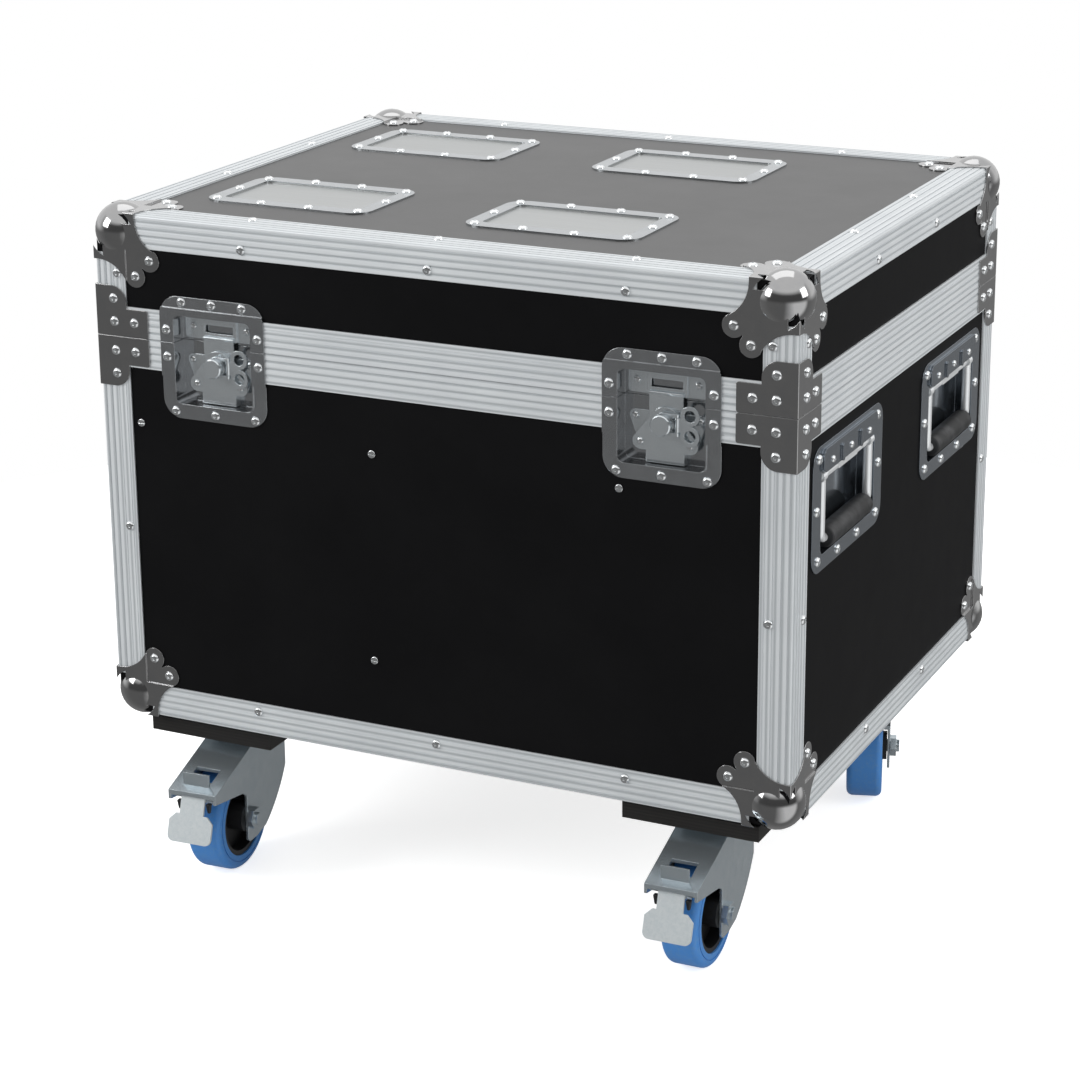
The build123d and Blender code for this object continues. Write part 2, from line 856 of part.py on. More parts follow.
export_step(latch_brackets.part, "parts/latch_brackets.step")

# Keepers in the lid's halves of the latch dishes
keeper_middle = case_bottom + (keeper_low_rise + keeper_high_rise) / 2
keeper_height = keeper_high_rise - keeper_low_rise
with BuildPart() as keepers:
    for latch_x in latch_xs:
        with BuildSketch(front_face.offset(-floor_depth)):
            with Locations((latch_x, keeper_middle)):
                RectangleRounded(keeper_width, keeper_height, keeper_round)
        extrude(amount=keeper_thick)
        with BuildSketch(front_face.offset(-keeper_depth)):
            with Locations((latch_x, keeper_middle)):
                Rectangle(keeper_bridge_width, keeper_height)
        extrude(amount=keeper_depth - floor_depth)
        with BuildSketch(front_face.offset(-keeper_depth - keeper_thick)):
            with Locations((latch_x, keeper_middle)):
                Rectangle(keeper_bridge_width - 2 * keeper_thick, keeper_height + overrun)
        extrude(amount=keeper_depth + keeper_thick - floor_depth, mode=Mode.SUBTRACT)
        with BuildSketch(front_face.offset(-keeper_depth)):
            with Locations((latch_x, case_bottom + (keeper_slot_low_rise + keeper_slot_high_rise) / 2)):
                Rectangle(keeper_slot_width, keeper_slot_high_rise - keeper_slot_low_rise)
        extrude(amount=-keeper_thick, mode=Mode.SUBTRACT)
keepers.part.label = "keepers"
export_step(keepers.part, "parts/keepers.step")

# The turning knob, its folding wing and the sliding hook of each latch
wing_middle_depth = wing_depth + wing_thick / 2
ear_offset = wing_barrel_length / 2 + ear_gap + ear_length / 2
for side, latch_x in zip(sides, latch_xs):
    fold_x = latch_x + wing_hinge_offset
    fold_y = front_y + wing_middle_depth
    with BuildPart() as knob:
        with BuildSketch(front_face.offset(-knob_front_depth)):
            with Locations((latch_x, knob_z)):
                Circle(knob_radius)
        extrude(amount=knob_front_depth - knob_back_depth)
        chamfer(knob.faces().sort_by(Axis.Y)[0].edges(), knob_chamfer)
        for depth in knob_groove_depths:
            with BuildSketch(front_face.offset(-depth)):
                with Locations((latch_x, knob_z)):
                    Circle(knob_radius + overrun)
                    Circle(knob_radius - knob_groove_depth, mode=Mode.SUBTRACT)
            extrude(amount=-knob_groove_width, mode=Mode.SUBTRACT)
        with BuildSketch(front_face.offset(-knob_back_depth)):
            with Locations((latch_x, knob_z)):
                Circle(shaft_radius)
        extrude(amount=knob_back_depth - shaft_end_depth)
        for end in (-1, 1):
            with BuildSketch(Plane.XY.offset(knob_z + end * ear_offset - ear_length / 2)):
                with Locations((fold_x, fold_y)):
                    Circle(wing_barrel_radius)
                with Locations((latch_x, fold_y)):
                    Rectangle(
                        wing_hinge_offset, 2 * wing_barrel_radius, align=(Align.MIN, Align.CENTER)
                    )
            extrude(amount=ear_length)
        with BuildSketch(Plane.XY.offset(knob_z - ear_offset)):
            with Locations((fold_x, fold_y)):
                Circle(wing_pin_radius)
        extrude(amount=2 * ear_offset)
    knob.part.label = f"latch_knob_{side}"
    export_step(knob.part, f"parts/latch_knob_{side}.step")

    with BuildPart() as wing:
        with BuildSketch(front_face.offset(-wing_depth)):
            with Locations((fold_x, knob_z)):
                Rectangle(
                    wing_lobe_offset - wing_hinge_offset,
                    wing_barrel_length,
                    align=(Align.MIN, Align.CENTER),
                )
            for end in (-1, 1):
                with Locations((latch_x + wing_lobe_offset, knob_z + end * wing_lobe_spread)):
                    Circle(wing_lobe_radius)
            for end in (-1, 1):
                with Locations((latch_x + wing_lobe_offset, knob_z + end * wing_lobe_spread)):
                    Circle(wing_hole_radius, mode=Mode.SUBTRACT)
        extrude(amount=-wing_thick)
        with BuildSketch(Plane.XY.offset(knob_z - wing_barrel_length / 2)):
            with Locations((fold_x, fold_y)):
                Circle(wing_barrel_radius)
        extrude(amount=wing_barrel_length)
        with BuildSketch(Plane.XY.offset(knob_z - wing_barrel_length / 2)):
            with Locations((fold_x, fold_y)):
                Circle(wing_pin_radius + shaft_gap)
        extrude(amount=wing_barrel_length, mode=Mode.SUBTRACT)
    wing.part.label = f"latch_wing_{side}"
    export_step(wing.part, f"parts/latch_wing_{side}.step")

    hook_low = case_bottom + hook_low_rise
    hook_top = case_bottom + hook_top_rise
    hook_slot = shaft_radius + hook_slot_gap
    with BuildPart() as hook:
        with BuildSketch(front_face.offset(-hook_depth)):
            with Locations((latch_x, (hook_low + hook_top) / 2)):
                Rectangle(hook_width, hook_top - hook_low)
            with Locations((latch_x, knob_z - hook_travel / 2)):
                SlotCenterToCenter(hook_travel, 2 * hook_slot, rotation=90, mode=Mode.SUBTRACT)
        extrude(amount=-hook_thick)
        with BuildSketch(Plane.YZ.offset(latch_x - hook_width / 2)):
            with Locations((front_y + hook_lip_depth, hook_top)):
                Circle(hook_lip_radius)
        extrude(amount=hook_width)
    hook.part.label = f"latch_hook_{side}"
    export_step(hook.part, f"parts/latch_hook_{side}.step")

# Spring handles in the sides: dishes, fixed hinge bars, bails and grips
handle_middle = case_bottom + handle_rise
hand_pan_inner = hand_pan_width - 2 * steel
cover_out = steel - edge_sheet
with BuildPart() as handle_dishes:
    for face, place in handle_spots:
        pan_centre = (place, handle_middle - hand_pan_drop)
        with BuildSketch(face.offset(-edge_sheet)):
            with Locations((place, handle_middle)):
                RectangleRounded(handle_width, handle_height, handle_round)
        extrude(amount=steel)
        with BuildSketch(face.offset(cover_out)):
            with Locations(pan_centre):
                RectangleRounded(hand_pan_width, hand_pan_height, hand_pan_round)
        extrude(amount=-(hand_pan_depth + cover_out))
        with BuildSketch(face.offset(cover_out)):
            with Locations(pan_centre):
                RectangleRounded(
                    hand_pan_inner, hand_pan_height - 2 * steel, hand_pan_round - steel
                )
        extrude(amount=-(hand_pan_depth + cover_out - steel), mode=Mode.SUBTRACT)
        with BuildSketch(face.offset(cover_out)):
            with Locations((place, handle_middle + (hinge_cover_low + hinge_cover_high) / 2)):
                RectangleRounded(
                    hinge_cover_width, hinge_cover_high - hinge_cover_low, hinge_cover_round
                )
        extrude(amount=hinge_cover_rise)
        with BuildSketch(face.offset(cover_out + hinge_cover_rise)):
            for side in (-1, 1):
                with Locations((place + side * cover_rib_side, handle_middle + cover_rivet_rise)):
                    SlotOverall(
                        hinge_cover_high - hinge_cover_low - cover_rib_width,
                        cover_rib_width,
                        rotation=90,
                    )
        extrude(amount=cover_rib_rise)
handle_dishes.part.label = "handle_dishes"
export_step(handle_dishes.part, "parts/handle_dishes.step")

bail_z = handle_middle + bail_axis_rise
with BuildPart() as hinge_bars:
    for face, place in handle_spots:
        bar_plane = Plane(
            origin=on_face(face, place, bail_z, -bail_axis_depth).position,
            x_dir=face.z_dir,
            z_dir=face.x_dir,
        )
        with BuildSketch(bar_plane):
            Circle(bar_radius)
        extrude(amount=hand_pan_inner / 2, both=True)
        with BuildSketch(bar_plane):
            Rectangle(spring_block, spring_block)
        extrude(amount=spring_block_length / 2, both=True)
        for end in (-1, 1):
            gap = spring_block_length / 2 + spring_side_gap
            with BuildSketch(bar_plane.offset(end * (gap + spring_side_length / 2))):
                Rectangle(spring_side_block, spring_side_block)
            extrude(amount=spring_side_length / 2, both=True)
hinge_bars.part.label = "handle_hinge_bars"
export_step(hinge_bars.part, "parts/handle_hinge_bars.step")

# Bail and grip, drawn about the hinge bar's middle with +X along the face and +Z out of it
with BuildPart() as bail_shape:
    with BuildSketch(Plane.XZ):
        with Locations((-bail_spread, 0), (bail_spread, 0)):
            Circle(bail_radius)
    extrude(amount=bail_drop - bail_bend)
    with BuildSketch(Plane.YZ):
        with Locations((-bail_drop, 0)):
            Circle(bail_radius)
    extrude(amount=bail_spread - bail_bend, both=True)
    for end in (-1, 1):
        bend_x = end * (bail_spread - bail_bend)
        with BuildSketch(Plane.YZ.offset(bend_x)):
            with Locations((-bail_drop, 0)):
                Circle(bail_radius)
        bend_axis = Axis((bend_x, bail_bend - bail_drop, 0), (0, 0, end))
        revolve(axis=bend_axis, revolution_arc=90)
        with BuildSketch(Plane.YZ.offset(end * bail_spread)):
            Circle(bail_eye_radius)
        extrude(amount=bail_eye_length / 2, both=True)
    with BuildSketch(Plane.YZ):
        Circle(bar_radius + bar_gap)
    extrude(amount=bail_spread + bail_eye_length, both=True, mode=Mode.SUBTRACT)

with BuildPart() as grip_shape:
    with BuildSketch(Plane.YZ):
        with Locations((-bail_drop, 0)):
            Circle(grip_radius)
    extrude(amount=grip_length / 2, both=True)
    fillet(grip_shape.edges(), grip_round)
    with BuildSketch(Plane.YZ):
        with Locations((-bail_drop, 0)):
            Circle(bail_radius + grip_gap)
    extrude(amount=grip_length, both=True, mode=Mode.SUBTRACT)

handle_names = ("left_back", "left_front", "right_front", "right_back")
for name, (face, place) in zip(handle_names, handle_spots):
    for piece, shape in (("bail", bail_shape), ("grip", grip_shape)):
        with BuildPart() as handle_piece:
            with Locations(on_face(face, place, bail_z, -bail_axis_depth)):
                add(shape.part)
        handle_piece.part.label = f"{piece}_{name}"
        export_step(handle_piece.part, f"parts/{piece}_{name}.step")

# Shallow steel dishes in the lid, where another case's wheels stand
with BuildPart() as wheel_dishes:
    with BuildSketch(top_face.offset(-edge_sheet)):
        with Locations(*dish_spots):
            RectangleRounded(dish_width, dish_length, dish_round)
    extrude(amount=steel)
    with BuildSketch(top_face.offset(cover_out)):
        with Locations(*dish_spots):
            RectangleRounded(dish_pan_width, dish_pan_length, dish_pan_round)
    extrude(amount=-(dish_pan_depth + cover_out))
    with BuildSketch(top_face.offset(cover_out)):
        with Locations(*dish_spots):
            RectangleRounded(
                dish_pan_width - 2 * steel, dish_pan_length - 2 * steel, dish_pan_round - steel
            )
    extrude(amount=-(dish_pan_depth + cover_out - steel), mode=Mode.SUBTRACT)
wheel_dishes.part.label = "wheel_dishes"
export_step(wheel_dishes.part, "parts/wheel_dishes.step")

# Lid hinges at the back: two leaves each, and a pin that stays with the base's leaf
hinge_y = back_y + hinge_axis_out
with BuildPart() as base_leaves:
    for hinge_x in (-hinge_offset, hinge_offset):
        with BuildSketch(Plane.XZ.offset(-back_y)):
            with Locations((hinge_x, parting_z)):
                Rectangle(hinge_width, hinge_leaf_height, align=(Align.CENTER, Align.MAX))
        extrude(amount=-edge_sheet)
        with BuildSketch(Plane.YZ.offset(hinge_x)):
            with Locations((hinge_y, parting_z)):
                Circle(hinge_radius)
        extrude(amount=hinge_width / 2, both=True)
        with BuildSketch(Plane.YZ.offset(hinge_x)):
            with Locations((hinge_y, parting_z)):
                Circle(hinge_radius + hinge_play)
        extrude(amount=hinge_knuckle / 2 + hinge_play, both=True, mode=Mode.SUBTRACT)
        with BuildSketch(Plane.YZ.offset(hinge_x)):
            with Locations((hinge_y, parting_z)):
                Circle(hinge_pin_radius + hinge_gap)
        extrude(amount=hinge_width, both=True, mode=Mode.SUBTRACT)
        with BuildSketch(Plane.YZ.offset(hinge_x)):
            with Locations((hinge_y, parting_z)):
                Circle(hinge_pin_radius)
        extrude(amount=hinge_width / 2, both=True)
base_leaves.part.label = "hinge_base_leaves"
export_step(base_leaves.part, "parts/hinge_base_leaves.step")

with BuildPart() as lid_leaves:
    for hinge_x in (-hinge_offset, hinge_offset):
        with BuildSketch(Plane.XZ.offset(-back_y)):
            with Locations((hinge_x, parting_z + seam)):
                Rectangle(hinge_width, hinge_leaf_height, align=(Align.CENTER, Align.MIN))
        extrude(amount=-edge_sheet)
        for end in (-1, 1):
            outer = (hinge_width + hinge_knuckle) / 4 + hinge_play / 2
            with BuildSketch(Plane.YZ.offset(hinge_x + end * outer)):
                with Locations((hinge_y, parting_z)):
                    Circle(hinge_radius + hinge_play)
            extrude(
                amount=(hinge_width - hinge_knuckle) / 4 + hinge_play, both=True, mode=Mode.SUBTRACT
            )
        with BuildSketch(Plane.YZ.offset(hinge_x)):
            with Locations((hinge_y, parting_z)):
                Circle(hinge_radius)
        extrude(amount=hinge_knuckle / 2, both=True)
        with BuildSketch(Plane.YZ.offset(hinge_x)):
            with Locations((hinge_y, parting_z)):
                Circle(hinge_pin_radius + hinge_gap)
        extrude(amount=hinge_width, both=True, mode=Mode.SUBTRACT)
lid_leaves.part.label = "hinge_lid_leaves"
export_step(lid_leaves.part, "parts/hinge_lid_leaves.step")

# Inside: dividers and foam linings
floor_top = case_bottom + edge_sheet + panel_thick
inner_depth = case_depth - 2 * panel_inner
inner_width = case_width - 2 * panel_inner
with BuildPart() as dividers:
    for place in divider_xs:
        with BuildSketch(Plane.XY.offset(floor_top)):
            with Locations((place, centre_y)):
                Rectangle(panel_thick, inner_depth)
        extrude(amount=divider_height)
    add(latch_room.part, mode=Mode.SUBTRACT)
dividers.part.label = "dividers"
export_step(dividers.part, "parts/dividers.step")

with BuildPart() as base_foam:
    with BuildSketch(Plane.XY.offset(floor_top + foam_gap)):
        with Locations((0, centre_y)):
            Rectangle(inner_width - 2 * foam_edge_gap, inner_depth - 2 * foam_edge_gap)
        for place in divider_xs:
            with Locations((place, centre_y)):
                Rectangle(panel_thick + 2 * foam_gap, inner_depth, mode=Mode.SUBTRACT)
    extrude(amount=foam_thick)
base_foam.part.label = "base_foam"
export_step(base_foam.part, "parts/base_foam.step")

lid_ceiling = case_top - panel_inner
with BuildPart() as lid_foam:
    with BuildSketch(Plane.XY.offset(lid_ceiling - foam_gap)):
        with Locations((0, centre_y)):
            Rectangle(inner_width - 2 * foam_edge_gap, inner_depth - 2 * foam_edge_gap)
    extrude(amount=-lid_foam_thick)
lid_foam.part.label = "lid_foam"
export_step(lid_foam.part, "parts/lid_foam.step")

# Castor boards under the four corners, relieved over the ball corners
board_spots = [(side * board_x, centre_y + end * board_y) for side in (-1, 1) for end in (-1, 1)]
with BuildPart() as corner_relief:
    Box(board_relief, board_relief, 2 * board_relief_depth, align=(Align.MIN, Align.MIN, Align.CENTER))
    with Locations(ball_spot):
        Sphere(ball_radius + ball_panel_gap)

with BuildPart() as castor_boards:
    with BuildSketch(Plane.XY.offset(castor_height)):
        with Locations(*board_spots):
            Rectangle(board_width, board_length)
    extrude(amount=board_thick)
    with Locations(*base_corner_spots):
        add(corner_relief.part, mode=Mode.SUBTRACT)
castor_boards.part.label = "castor_boards"
export_step(castor_boards.part, "parts/castor_boards.step")

# Castor top plates, each with its ball race and king pin
plate_low = castor_height - plate_thick
race_low = plate_low - race_height
crown_top = race_low - swivel_gap
crown_low = crown_top - crown_thick
bolt_grid = [
    (x + side * bolt_spacing_long / 2, y + end * bolt_spacing_wide / 2)
    for x, y in board_spots
    for side in (-1, 1)
    for end in (-1, 1)
]
with BuildPart() as castor_plates:
    with BuildSketch(Plane.XY.offset(plate_low)):
        with Locations(*board_spots):
            RectangleRounded(plate_length, plate_width, plate_round)
        with Locations(*bolt_grid):
            Circle(bolt_radius + fit_gap, mode=Mode.SUBTRACT)
    extrude(amount=plate_thick)
    with BuildSketch(Plane.XY.offset(race_low)):
        with Locations(*board_spots):
            Circle(race_radius)
    extrude(amount=race_height)
    fillet(castor_plates.edges().group_by(Axis.Z)[0], race_fillet)
    with BuildSketch(Plane.XY.offset(race_low)):
        with Locations(*board_spots):
            Circle(king_radius)
    extrude(amount=-(2 * swivel_gap + crown_thick))
    with BuildSketch(Plane.XY.offset(crown_low - swivel_gap)):
        with Locations(*board_spots):
            Circle(king_head_radius)
    extrude(amount=-king_head)
castor_plates.part.label = "castor_plates"
export_step(castor_plates.part, "parts/castor_plates.step")

with BuildPart() as castor_bolts:
    with BuildSketch(Plane.XY.offset(plate_low)):
        with Locations(*bolt_grid):
            RegularPolygon(bolt_flats / 2, 6, major_radius=False)
    extrude(amount=-bolt_head)
    with BuildSketch(Plane.XY.offset(plate_low)):
        with Locations(*bolt_grid):
            Circle(bolt_radius)
    extrude(amount=plate_thick)
castor_bolts.part.label = "castor_bolts"
export_step(castor_bolts.part, "parts/castor_bolts.step")

# Swivel fork, drawn about its king pin with +X the way that its wheel trails
fork_outer = fork_inner / 2 + fork_sheet
with BuildPart() as fork_frame:
    for side in (-1, 1):
        with BuildSketch(Plane.XZ.offset(side * (fork_outer - fork_sheet / 2))) as leg:
            with BuildLine():
                Polyline(
                    (leg_back_out, leg_back_height),
                    (-crown_back, crown_top),
                    (crown_front, crown_top),
                    (apron_tip, apron_tip_height),
                    (apron_tip, apron_tip_height - apron_tip_depth),
                    (leg_arch_out, leg_arch_height),
                    (leg_front, leg_arch_height - leg_round),
                    (leg_front, leg_tip_height),
                    (leg_tip_back, leg_tip_height),
                    (leg_heel_out, leg_heel_height),
                )
                ThreePointArc(
                    (leg_heel_out, leg_heel_height),
                    (leg_bow_out, leg_bow_height),
                    (leg_back_out, leg_back_height),
                )
            make_face()
            fillet(leg.vertices().group_by(Axis.Y)[0], leg_round)
        extrude(amount=fork_sheet / 2, both=True)
    with BuildSketch(Plane.XZ):
        with BuildLine():
            Polyline(
                (-crown_back, crown_top),
                (crown_front, crown_top),
                (apron_tip, apron_tip_height),
                (apron_tip, apron_tip_height - apron_lip),
                (apron_tip - fork_sheet, apron_tip_height - apron_lip),
                (apron_tip - fork_sheet, apron_tip_height - fork_sheet),
                (crown_front, crown_low),
                (-crown_back, crown_low),
                close=True,
            )
        make_face()
    extrude(amount=fork_outer, both=True)
    with BuildSketch(Plane.XY.offset(crown_low)):
        Circle(king_radius + shaft_gap)
        with Locations(((slot_from + slot_to) / 2, 0)):
            Rectangle(slot_to - slot_from, slot_width)
    extrude(amount=-crown_top, both=True, mode=Mode.SUBTRACT)
    with BuildSketch(Plane.XZ):
        with Locations((trail, wheel_radius)):
            Circle(axle_radius + axle_gap)
    extrude(amount=fork_outer + overrun, both=True, mode=Mode.SUBTRACT)
    tab_foot = crown_top - (tab_place - crown_front) * (crown_top - apron_tip_height) / (
        apron_tip - crown_front
    )
    with BuildSketch(Plane.XY.offset(tab_foot - fork_sheet / 2)):
        with Locations((tab_place, 0)):
            Rectangle(tab_thick, tab_width)
    extrude(amount=tab_height)

axle_reach = fork_outer + axle_gap
with BuildPart() as axle:
    with BuildSketch(Plane.XZ):
        with Locations((trail, wheel_radius)):
            Circle(axle_radius)
    extrude(amount=axle_reach, both=True)
    with BuildSketch(Plane.XZ.offset(axle_reach)):
        with Locations((trail, wheel_radius)):
            RegularPolygon(axle_head_flats / 2, 6, major_radius=False)
    extrude(amount=axle_head)
    with BuildSketch(Plane.XZ.offset(-axle_reach)):
        with Locations((trail, wheel_radius)):
            RegularPolygon(axle_head_flats / 2, 6, major_radius=False)
    extrude(amount=-axle_head)
    with BuildSketch(Plane.XZ.offset(-axle_reach - axle_head)):
        with Locations((trail, wheel_radius)):
            Circle(axle_radius)
    extrude(amount=-axle_nut_extra)

with BuildPart() as pedal_pin:
    with BuildSketch(Plane.XZ):
        with Locations((pedal_axis_out, pedal_axis_height)):
            Circle(pedal_pin_radius)
    extrude(amount=fork_inner / 2, both=True)

with BuildPart() as hub_shape:
    with BuildSketch(Plane.XZ):
        with Locations((trail, wheel_radius)):
            Circle(tyre_inner_radius - axle_gap)
            Circle(tyre_inner_radius - hub_rim, mode=Mode.SUBTRACT)
    extrude(amount=hub_rim_width / 2, both=True)
    with BuildSketch(Plane.XZ):
        with Locations((trail, wheel_radius)):
            Circle(tyre_inner_radius - hub_rim)
    extrude(amount=hub_web / 2, both=True)
    with BuildSketch(Plane.XZ):
        with Locations((trail, wheel_radius)):
            Circle(hub_boss_radius)
    extrude(amount=hub_width / 2, both=True)
    with BuildSketch(Plane.XZ):
        with Locations((trail, wheel_radius)):
            Circle(axle_radius + axle_gap)
    extrude(amount=hub_width, both=True, mode=Mode.SUBTRACT)

with BuildPart() as tyre_shape:
    with BuildSketch(Plane.XZ):
        with Locations((trail, wheel_radius)):
            Circle(wheel_radius)
    extrude(amount=tyre_width / 2, both=True)
    fillet(tyre_shape.edges(), tyre_shoulder)
    with BuildSketch(Plane.XZ):
        with Locations((trail, wheel_radius)):
            Circle(tyre_inner_radius)
    extrude(amount=tyre_width, both=True, mode=Mode.SUBTRACT)
    for side in (-1, 1):
        with BuildSketch(Plane.XZ.offset(side * tyre_width / 2)):
            with Locations((trail, wheel_radius)):
                Circle(tyre_rib_radius)
                Circle(tyre_rib_radius - tyre_rib_width, mode=Mode.SUBTRACT)
        extrude(amount=-side * tyre_rib_depth, mode=Mode.SUBTRACT)

# Brake pedal, drawn pressed down, with its shoe just off the tyre
pedal_plane = Plane(
    origin=(pedal_axis_out + pedal_barrel_radius - pedal_thick, 0, pedal_axis_height),
    x_dir=(0, 1, 0),
    z_dir=(cos(radians(pedal_lean)), 0, sin(radians(pedal_lean))),
)
to_wheel = Vector(trail - pedal_axis_out, 0, wheel_radius - pedal_axis_height)
shoe_length = to_wheel.length - wheel_radius - pedal_shoe_gap
shoe_plane = Plane(
    origin=(pedal_axis_out, 0, pedal_axis_height), x_dir=(0, 1, 0), z_dir=to_wheel.normalized()
)
with BuildPart() as pedal_shape:
    with BuildSketch(pedal_plane) as pad:
        with Locations((0, 0)):
            Rectangle(pedal_neck_width, pedal_drop, align=(Align.CENTER, Align.MAX))
        with Locations((0, -pedal_neck_drop)):
            Rectangle(pedal_width, pedal_drop - pedal_neck_drop, align=(Align.CENTER, Align.MAX))
        pad_corners = pad.vertices().filter_by(lambda v: abs(v.X) > pedal_neck_width / 2 + overrun)
        chamfer(pad_corners.group_by(Axis.Y)[-1], pedal_corner)
        fillet(pad_corners.group_by(Axis.Y)[0], pedal_corner)
    extrude(amount=pedal_thick)
    with BuildSketch(Plane.XZ):
        with Locations((pedal_axis_out, pedal_axis_height)):
            Circle(pedal_barrel_radius)
    extrude(amount=pedal_neck_width / 2, both=True)
    with BuildSketch(shoe_plane):
        Rectangle(pedal_shoe_width, pedal_shoe_thick)
    extrude(amount=shoe_length)
    with BuildSketch(Plane.XZ):
        with Locations((pedal_axis_out, pedal_axis_height)):
            Circle(pedal_pin_radius + shaft_gap)
    extrude(amount=pedal_width, both=True, mode=Mode.SUBTRACT)

castors = (
    ("front_left", -1, -1, front_left_angle),
    ("front_right", 1, -1, front_right_angle),
    ("back_right", 1, 1, back_right_angle),
    ("back_left", -1, 1, back_left_angle),
)
for name, side, end, angle in castors:
    braked = end < 0
    spot = Location((side * board_x, centre_y + end * board_y, 0), (0, 0, angle))
    with BuildPart() as fork:
        with Locations(spot):
            add(fork_frame.part)
            if braked:
                add(pedal_pin.part)
            add(axle.part)
    fork.part.label = f"fork_{name}"
    export_step(fork.part, f"parts/fork_{name}.step")
    with BuildPart() as hub:
        with Locations(spot):
            add(hub_shape.part)
    hub.part.label = f"wheel_hub_{name}"
    export_step(hub.part, f"parts/wheel_hub_{name}.step")
    with BuildPart() as tyre:
        with Locations(spot):
            add(tyre_shape.part)
    tyre.part.label = f"tyre_{name}"
    export_step(tyre.part, f"parts/tyre_{name}.step")
    if braked:
        with BuildPart() as pedal:
            with Locations(spot):
                add(pedal_shape.part)
        pedal.part.label = f"brake_pedal_{name}"
        export_step(pedal.part, f"parts/brake_pedal_{name}.step")

# Rivet heads of the base and of the lid
rivet_line = case_bottom + edge_rivet_inset
lid_rivet_line = case_top - edge_rivet_inset
edge_rows = (
    (front_face, case_width, front_rivet_shares),
    (back_face, case_width, front_rivet_shares),
    (left_face, case_depth, side_rivet_shares),
    (right_face, case_depth, side_rivet_shares),
)


def corner_rivets(corner_spots):
    """Places of the ball corners' rivets, two on each of a corner's three plates."""
    found = []
    for spot in corner_spots:
        for plane in (Plane.XY, Plane.YZ, Plane.ZX):
            plate = plane.offset(edge_sheet - steel).location
            for pair in ((lobe_far, lobe_near), (lobe_near, lobe_far)):
                flipped = Location((*pair, 0), (180, 0, 0))
                found.append(spot * plate * flipped)
    return found


def brace_rivets(level):
    """Places of the braces' rivets, three on each face at every upright corner."""
    found = []
    spots = ((brace_rivet_near, brace_rivet_low), (brace_rivet_far, brace_rivet_low))
    for face, width in wall_faces:
        for side in (-1, 1):
            for near, rise in spots + ((brace_rivet_near, brace_rivet_high),):
                across = side * (width / 2 - near)
                found.append(on_face(face, across, parting_z + level * rise, steel))
    return found


base_rivet_spots = corner_rivets(base_corner_spots) + brace_rivets(-1)
lid_rivet_spots = corner_rivets(lid_corner_spots) + brace_rivets(1)
for face, width, shares in edge_rows:
    for place in [share * width / 2 for share in shares]:
        base_rivet_spots.append(on_face(face, place, rivet_line, 0))
        lid_rivet_spots.append(on_face(face, place, lid_rivet_line, 0))
        top_edge = case_depth if width == case_width else case_width
        outward = Vector(face.z_dir) * (top_edge / 2 - edge_rivet_inset)
        along = Vector(face.x_dir) * place
        lid_rivet_spots.append(Location(Vector(0, centre_y, case_top) + outward + along))
    for side in (-1, 1):
        across = side * (width / 2 - edge_rivet_inset)
        base_rivet_spots.append(on_face(face, across, case_bottom + post_rivet_rise, 0))
        lid_rivet_spots.append(on_face(face, across, case_top - post_rivet_lid_drop, 0))
for latch_x in latch_xs:
    for side in (-1, 1):
        reach = latch_x + side * latch_side_rivet
        base_rivet_spots.append(on_face(front_face, reach, case_bottom + latch_base_side_rise, steel))
        lid_rivet_spots.append(on_face(front_face, reach, case_bottom + latch_lid_side_rise, steel))
    for side in (-1, 0, 1):
        low_spot = (latch_x + side * latch_bottom_rivet_side, case_bottom + latch_bottom_rivet_rise)
        top_spot = (latch_x + side * latch_top_rivet_side, case_bottom + latch_top_rivet_rise)
        base_rivet_spots.append(on_face(front_face, *low_spot, cover_out))
        lid_rivet_spots.append(on_face(front_face, *top_spot, cover_out))
for face, place in handle_spots:
    for side in (-1, 1):
        shares = (
            (hand_corner_rivet_side, hand_corner_rivet_rise),
            (hand_corner_rivet_side, -hand_corner_rivet_rise),
            (hand_side_rivet, 0),
            (hand_low_rivet_side, -hand_low_rivet_drop),
        )
        for across, up in shares:
            spot = (place + side * across, handle_middle + up)
            base_rivet_spots.append(on_face(face, *spot, cover_out))
for dish_x, dish_y in dish_spots:
    for side in (-1, 1):
        for across, along in (
            (side * dish_corner_rivet_x, dish_corner_rivet_y),
            (side * dish_corner_rivet_x, -dish_corner_rivet_y),
            (side * dish_long_rivet_x, dish_long_rivet_y),
            (side * dish_long_rivet_x, -dish_long_rivet_y),
            (side * dish_short_rivet_x, 0),
        ):
            spot = (dish_x + across, dish_y + along, cover_out)
            lid_rivet_spots.append(top_face.location * Location(spot))
cover_top = cover_out + hinge_cover_rise
base_small_spots = [
    on_face(face, place + side * cover_rivet_side, handle_middle + cover_rivet_rise, cover_top)
    for face, place in handle_spots
    for side in (-1, 0, 1)
]
base_small_spots += [
    on_face(front_face, latch_x + side * offset, height, -depth)
    for latch_x in latch_xs
    for side in (-1, 1)
    for offset, height, depth in (
        (bracket_foot_offset, foot_z, bracket_depth),
        (bracket_ear_offset, ear_z, floor_depth - bracket_base_thick),
    )
]
keeper_rivet_z = case_bottom + keeper_rivet_rise
keeper_face_out = keeper_thick - floor_depth
lid_small_spots = [
    on_face(front_face, latch_x + side * keeper_rivet_side, keeper_rivet_z, keeper_face_out)
    for latch_x in latch_xs
    for side in (-1, 1)
]
hinge_rivets = [
    end * hinge_offset + side * hinge_rivet_side for end in (-1, 1) for side in (-1, 1)
]
for across in hinge_rivets:
    base_rivet_spots.append(on_face(back_face, across, parting_z - hinge_rivet_rise, edge_sheet))
    lid_rivet_spots.append(on_face(back_face, across, parting_z + hinge_rivet_rise, edge_sheet))
rivet_groups = (
    ("base_rivets", base_rivet_spots, base_small_spots),
    ("lid_rivets", lid_rivet_spots, lid_small_spots),
)
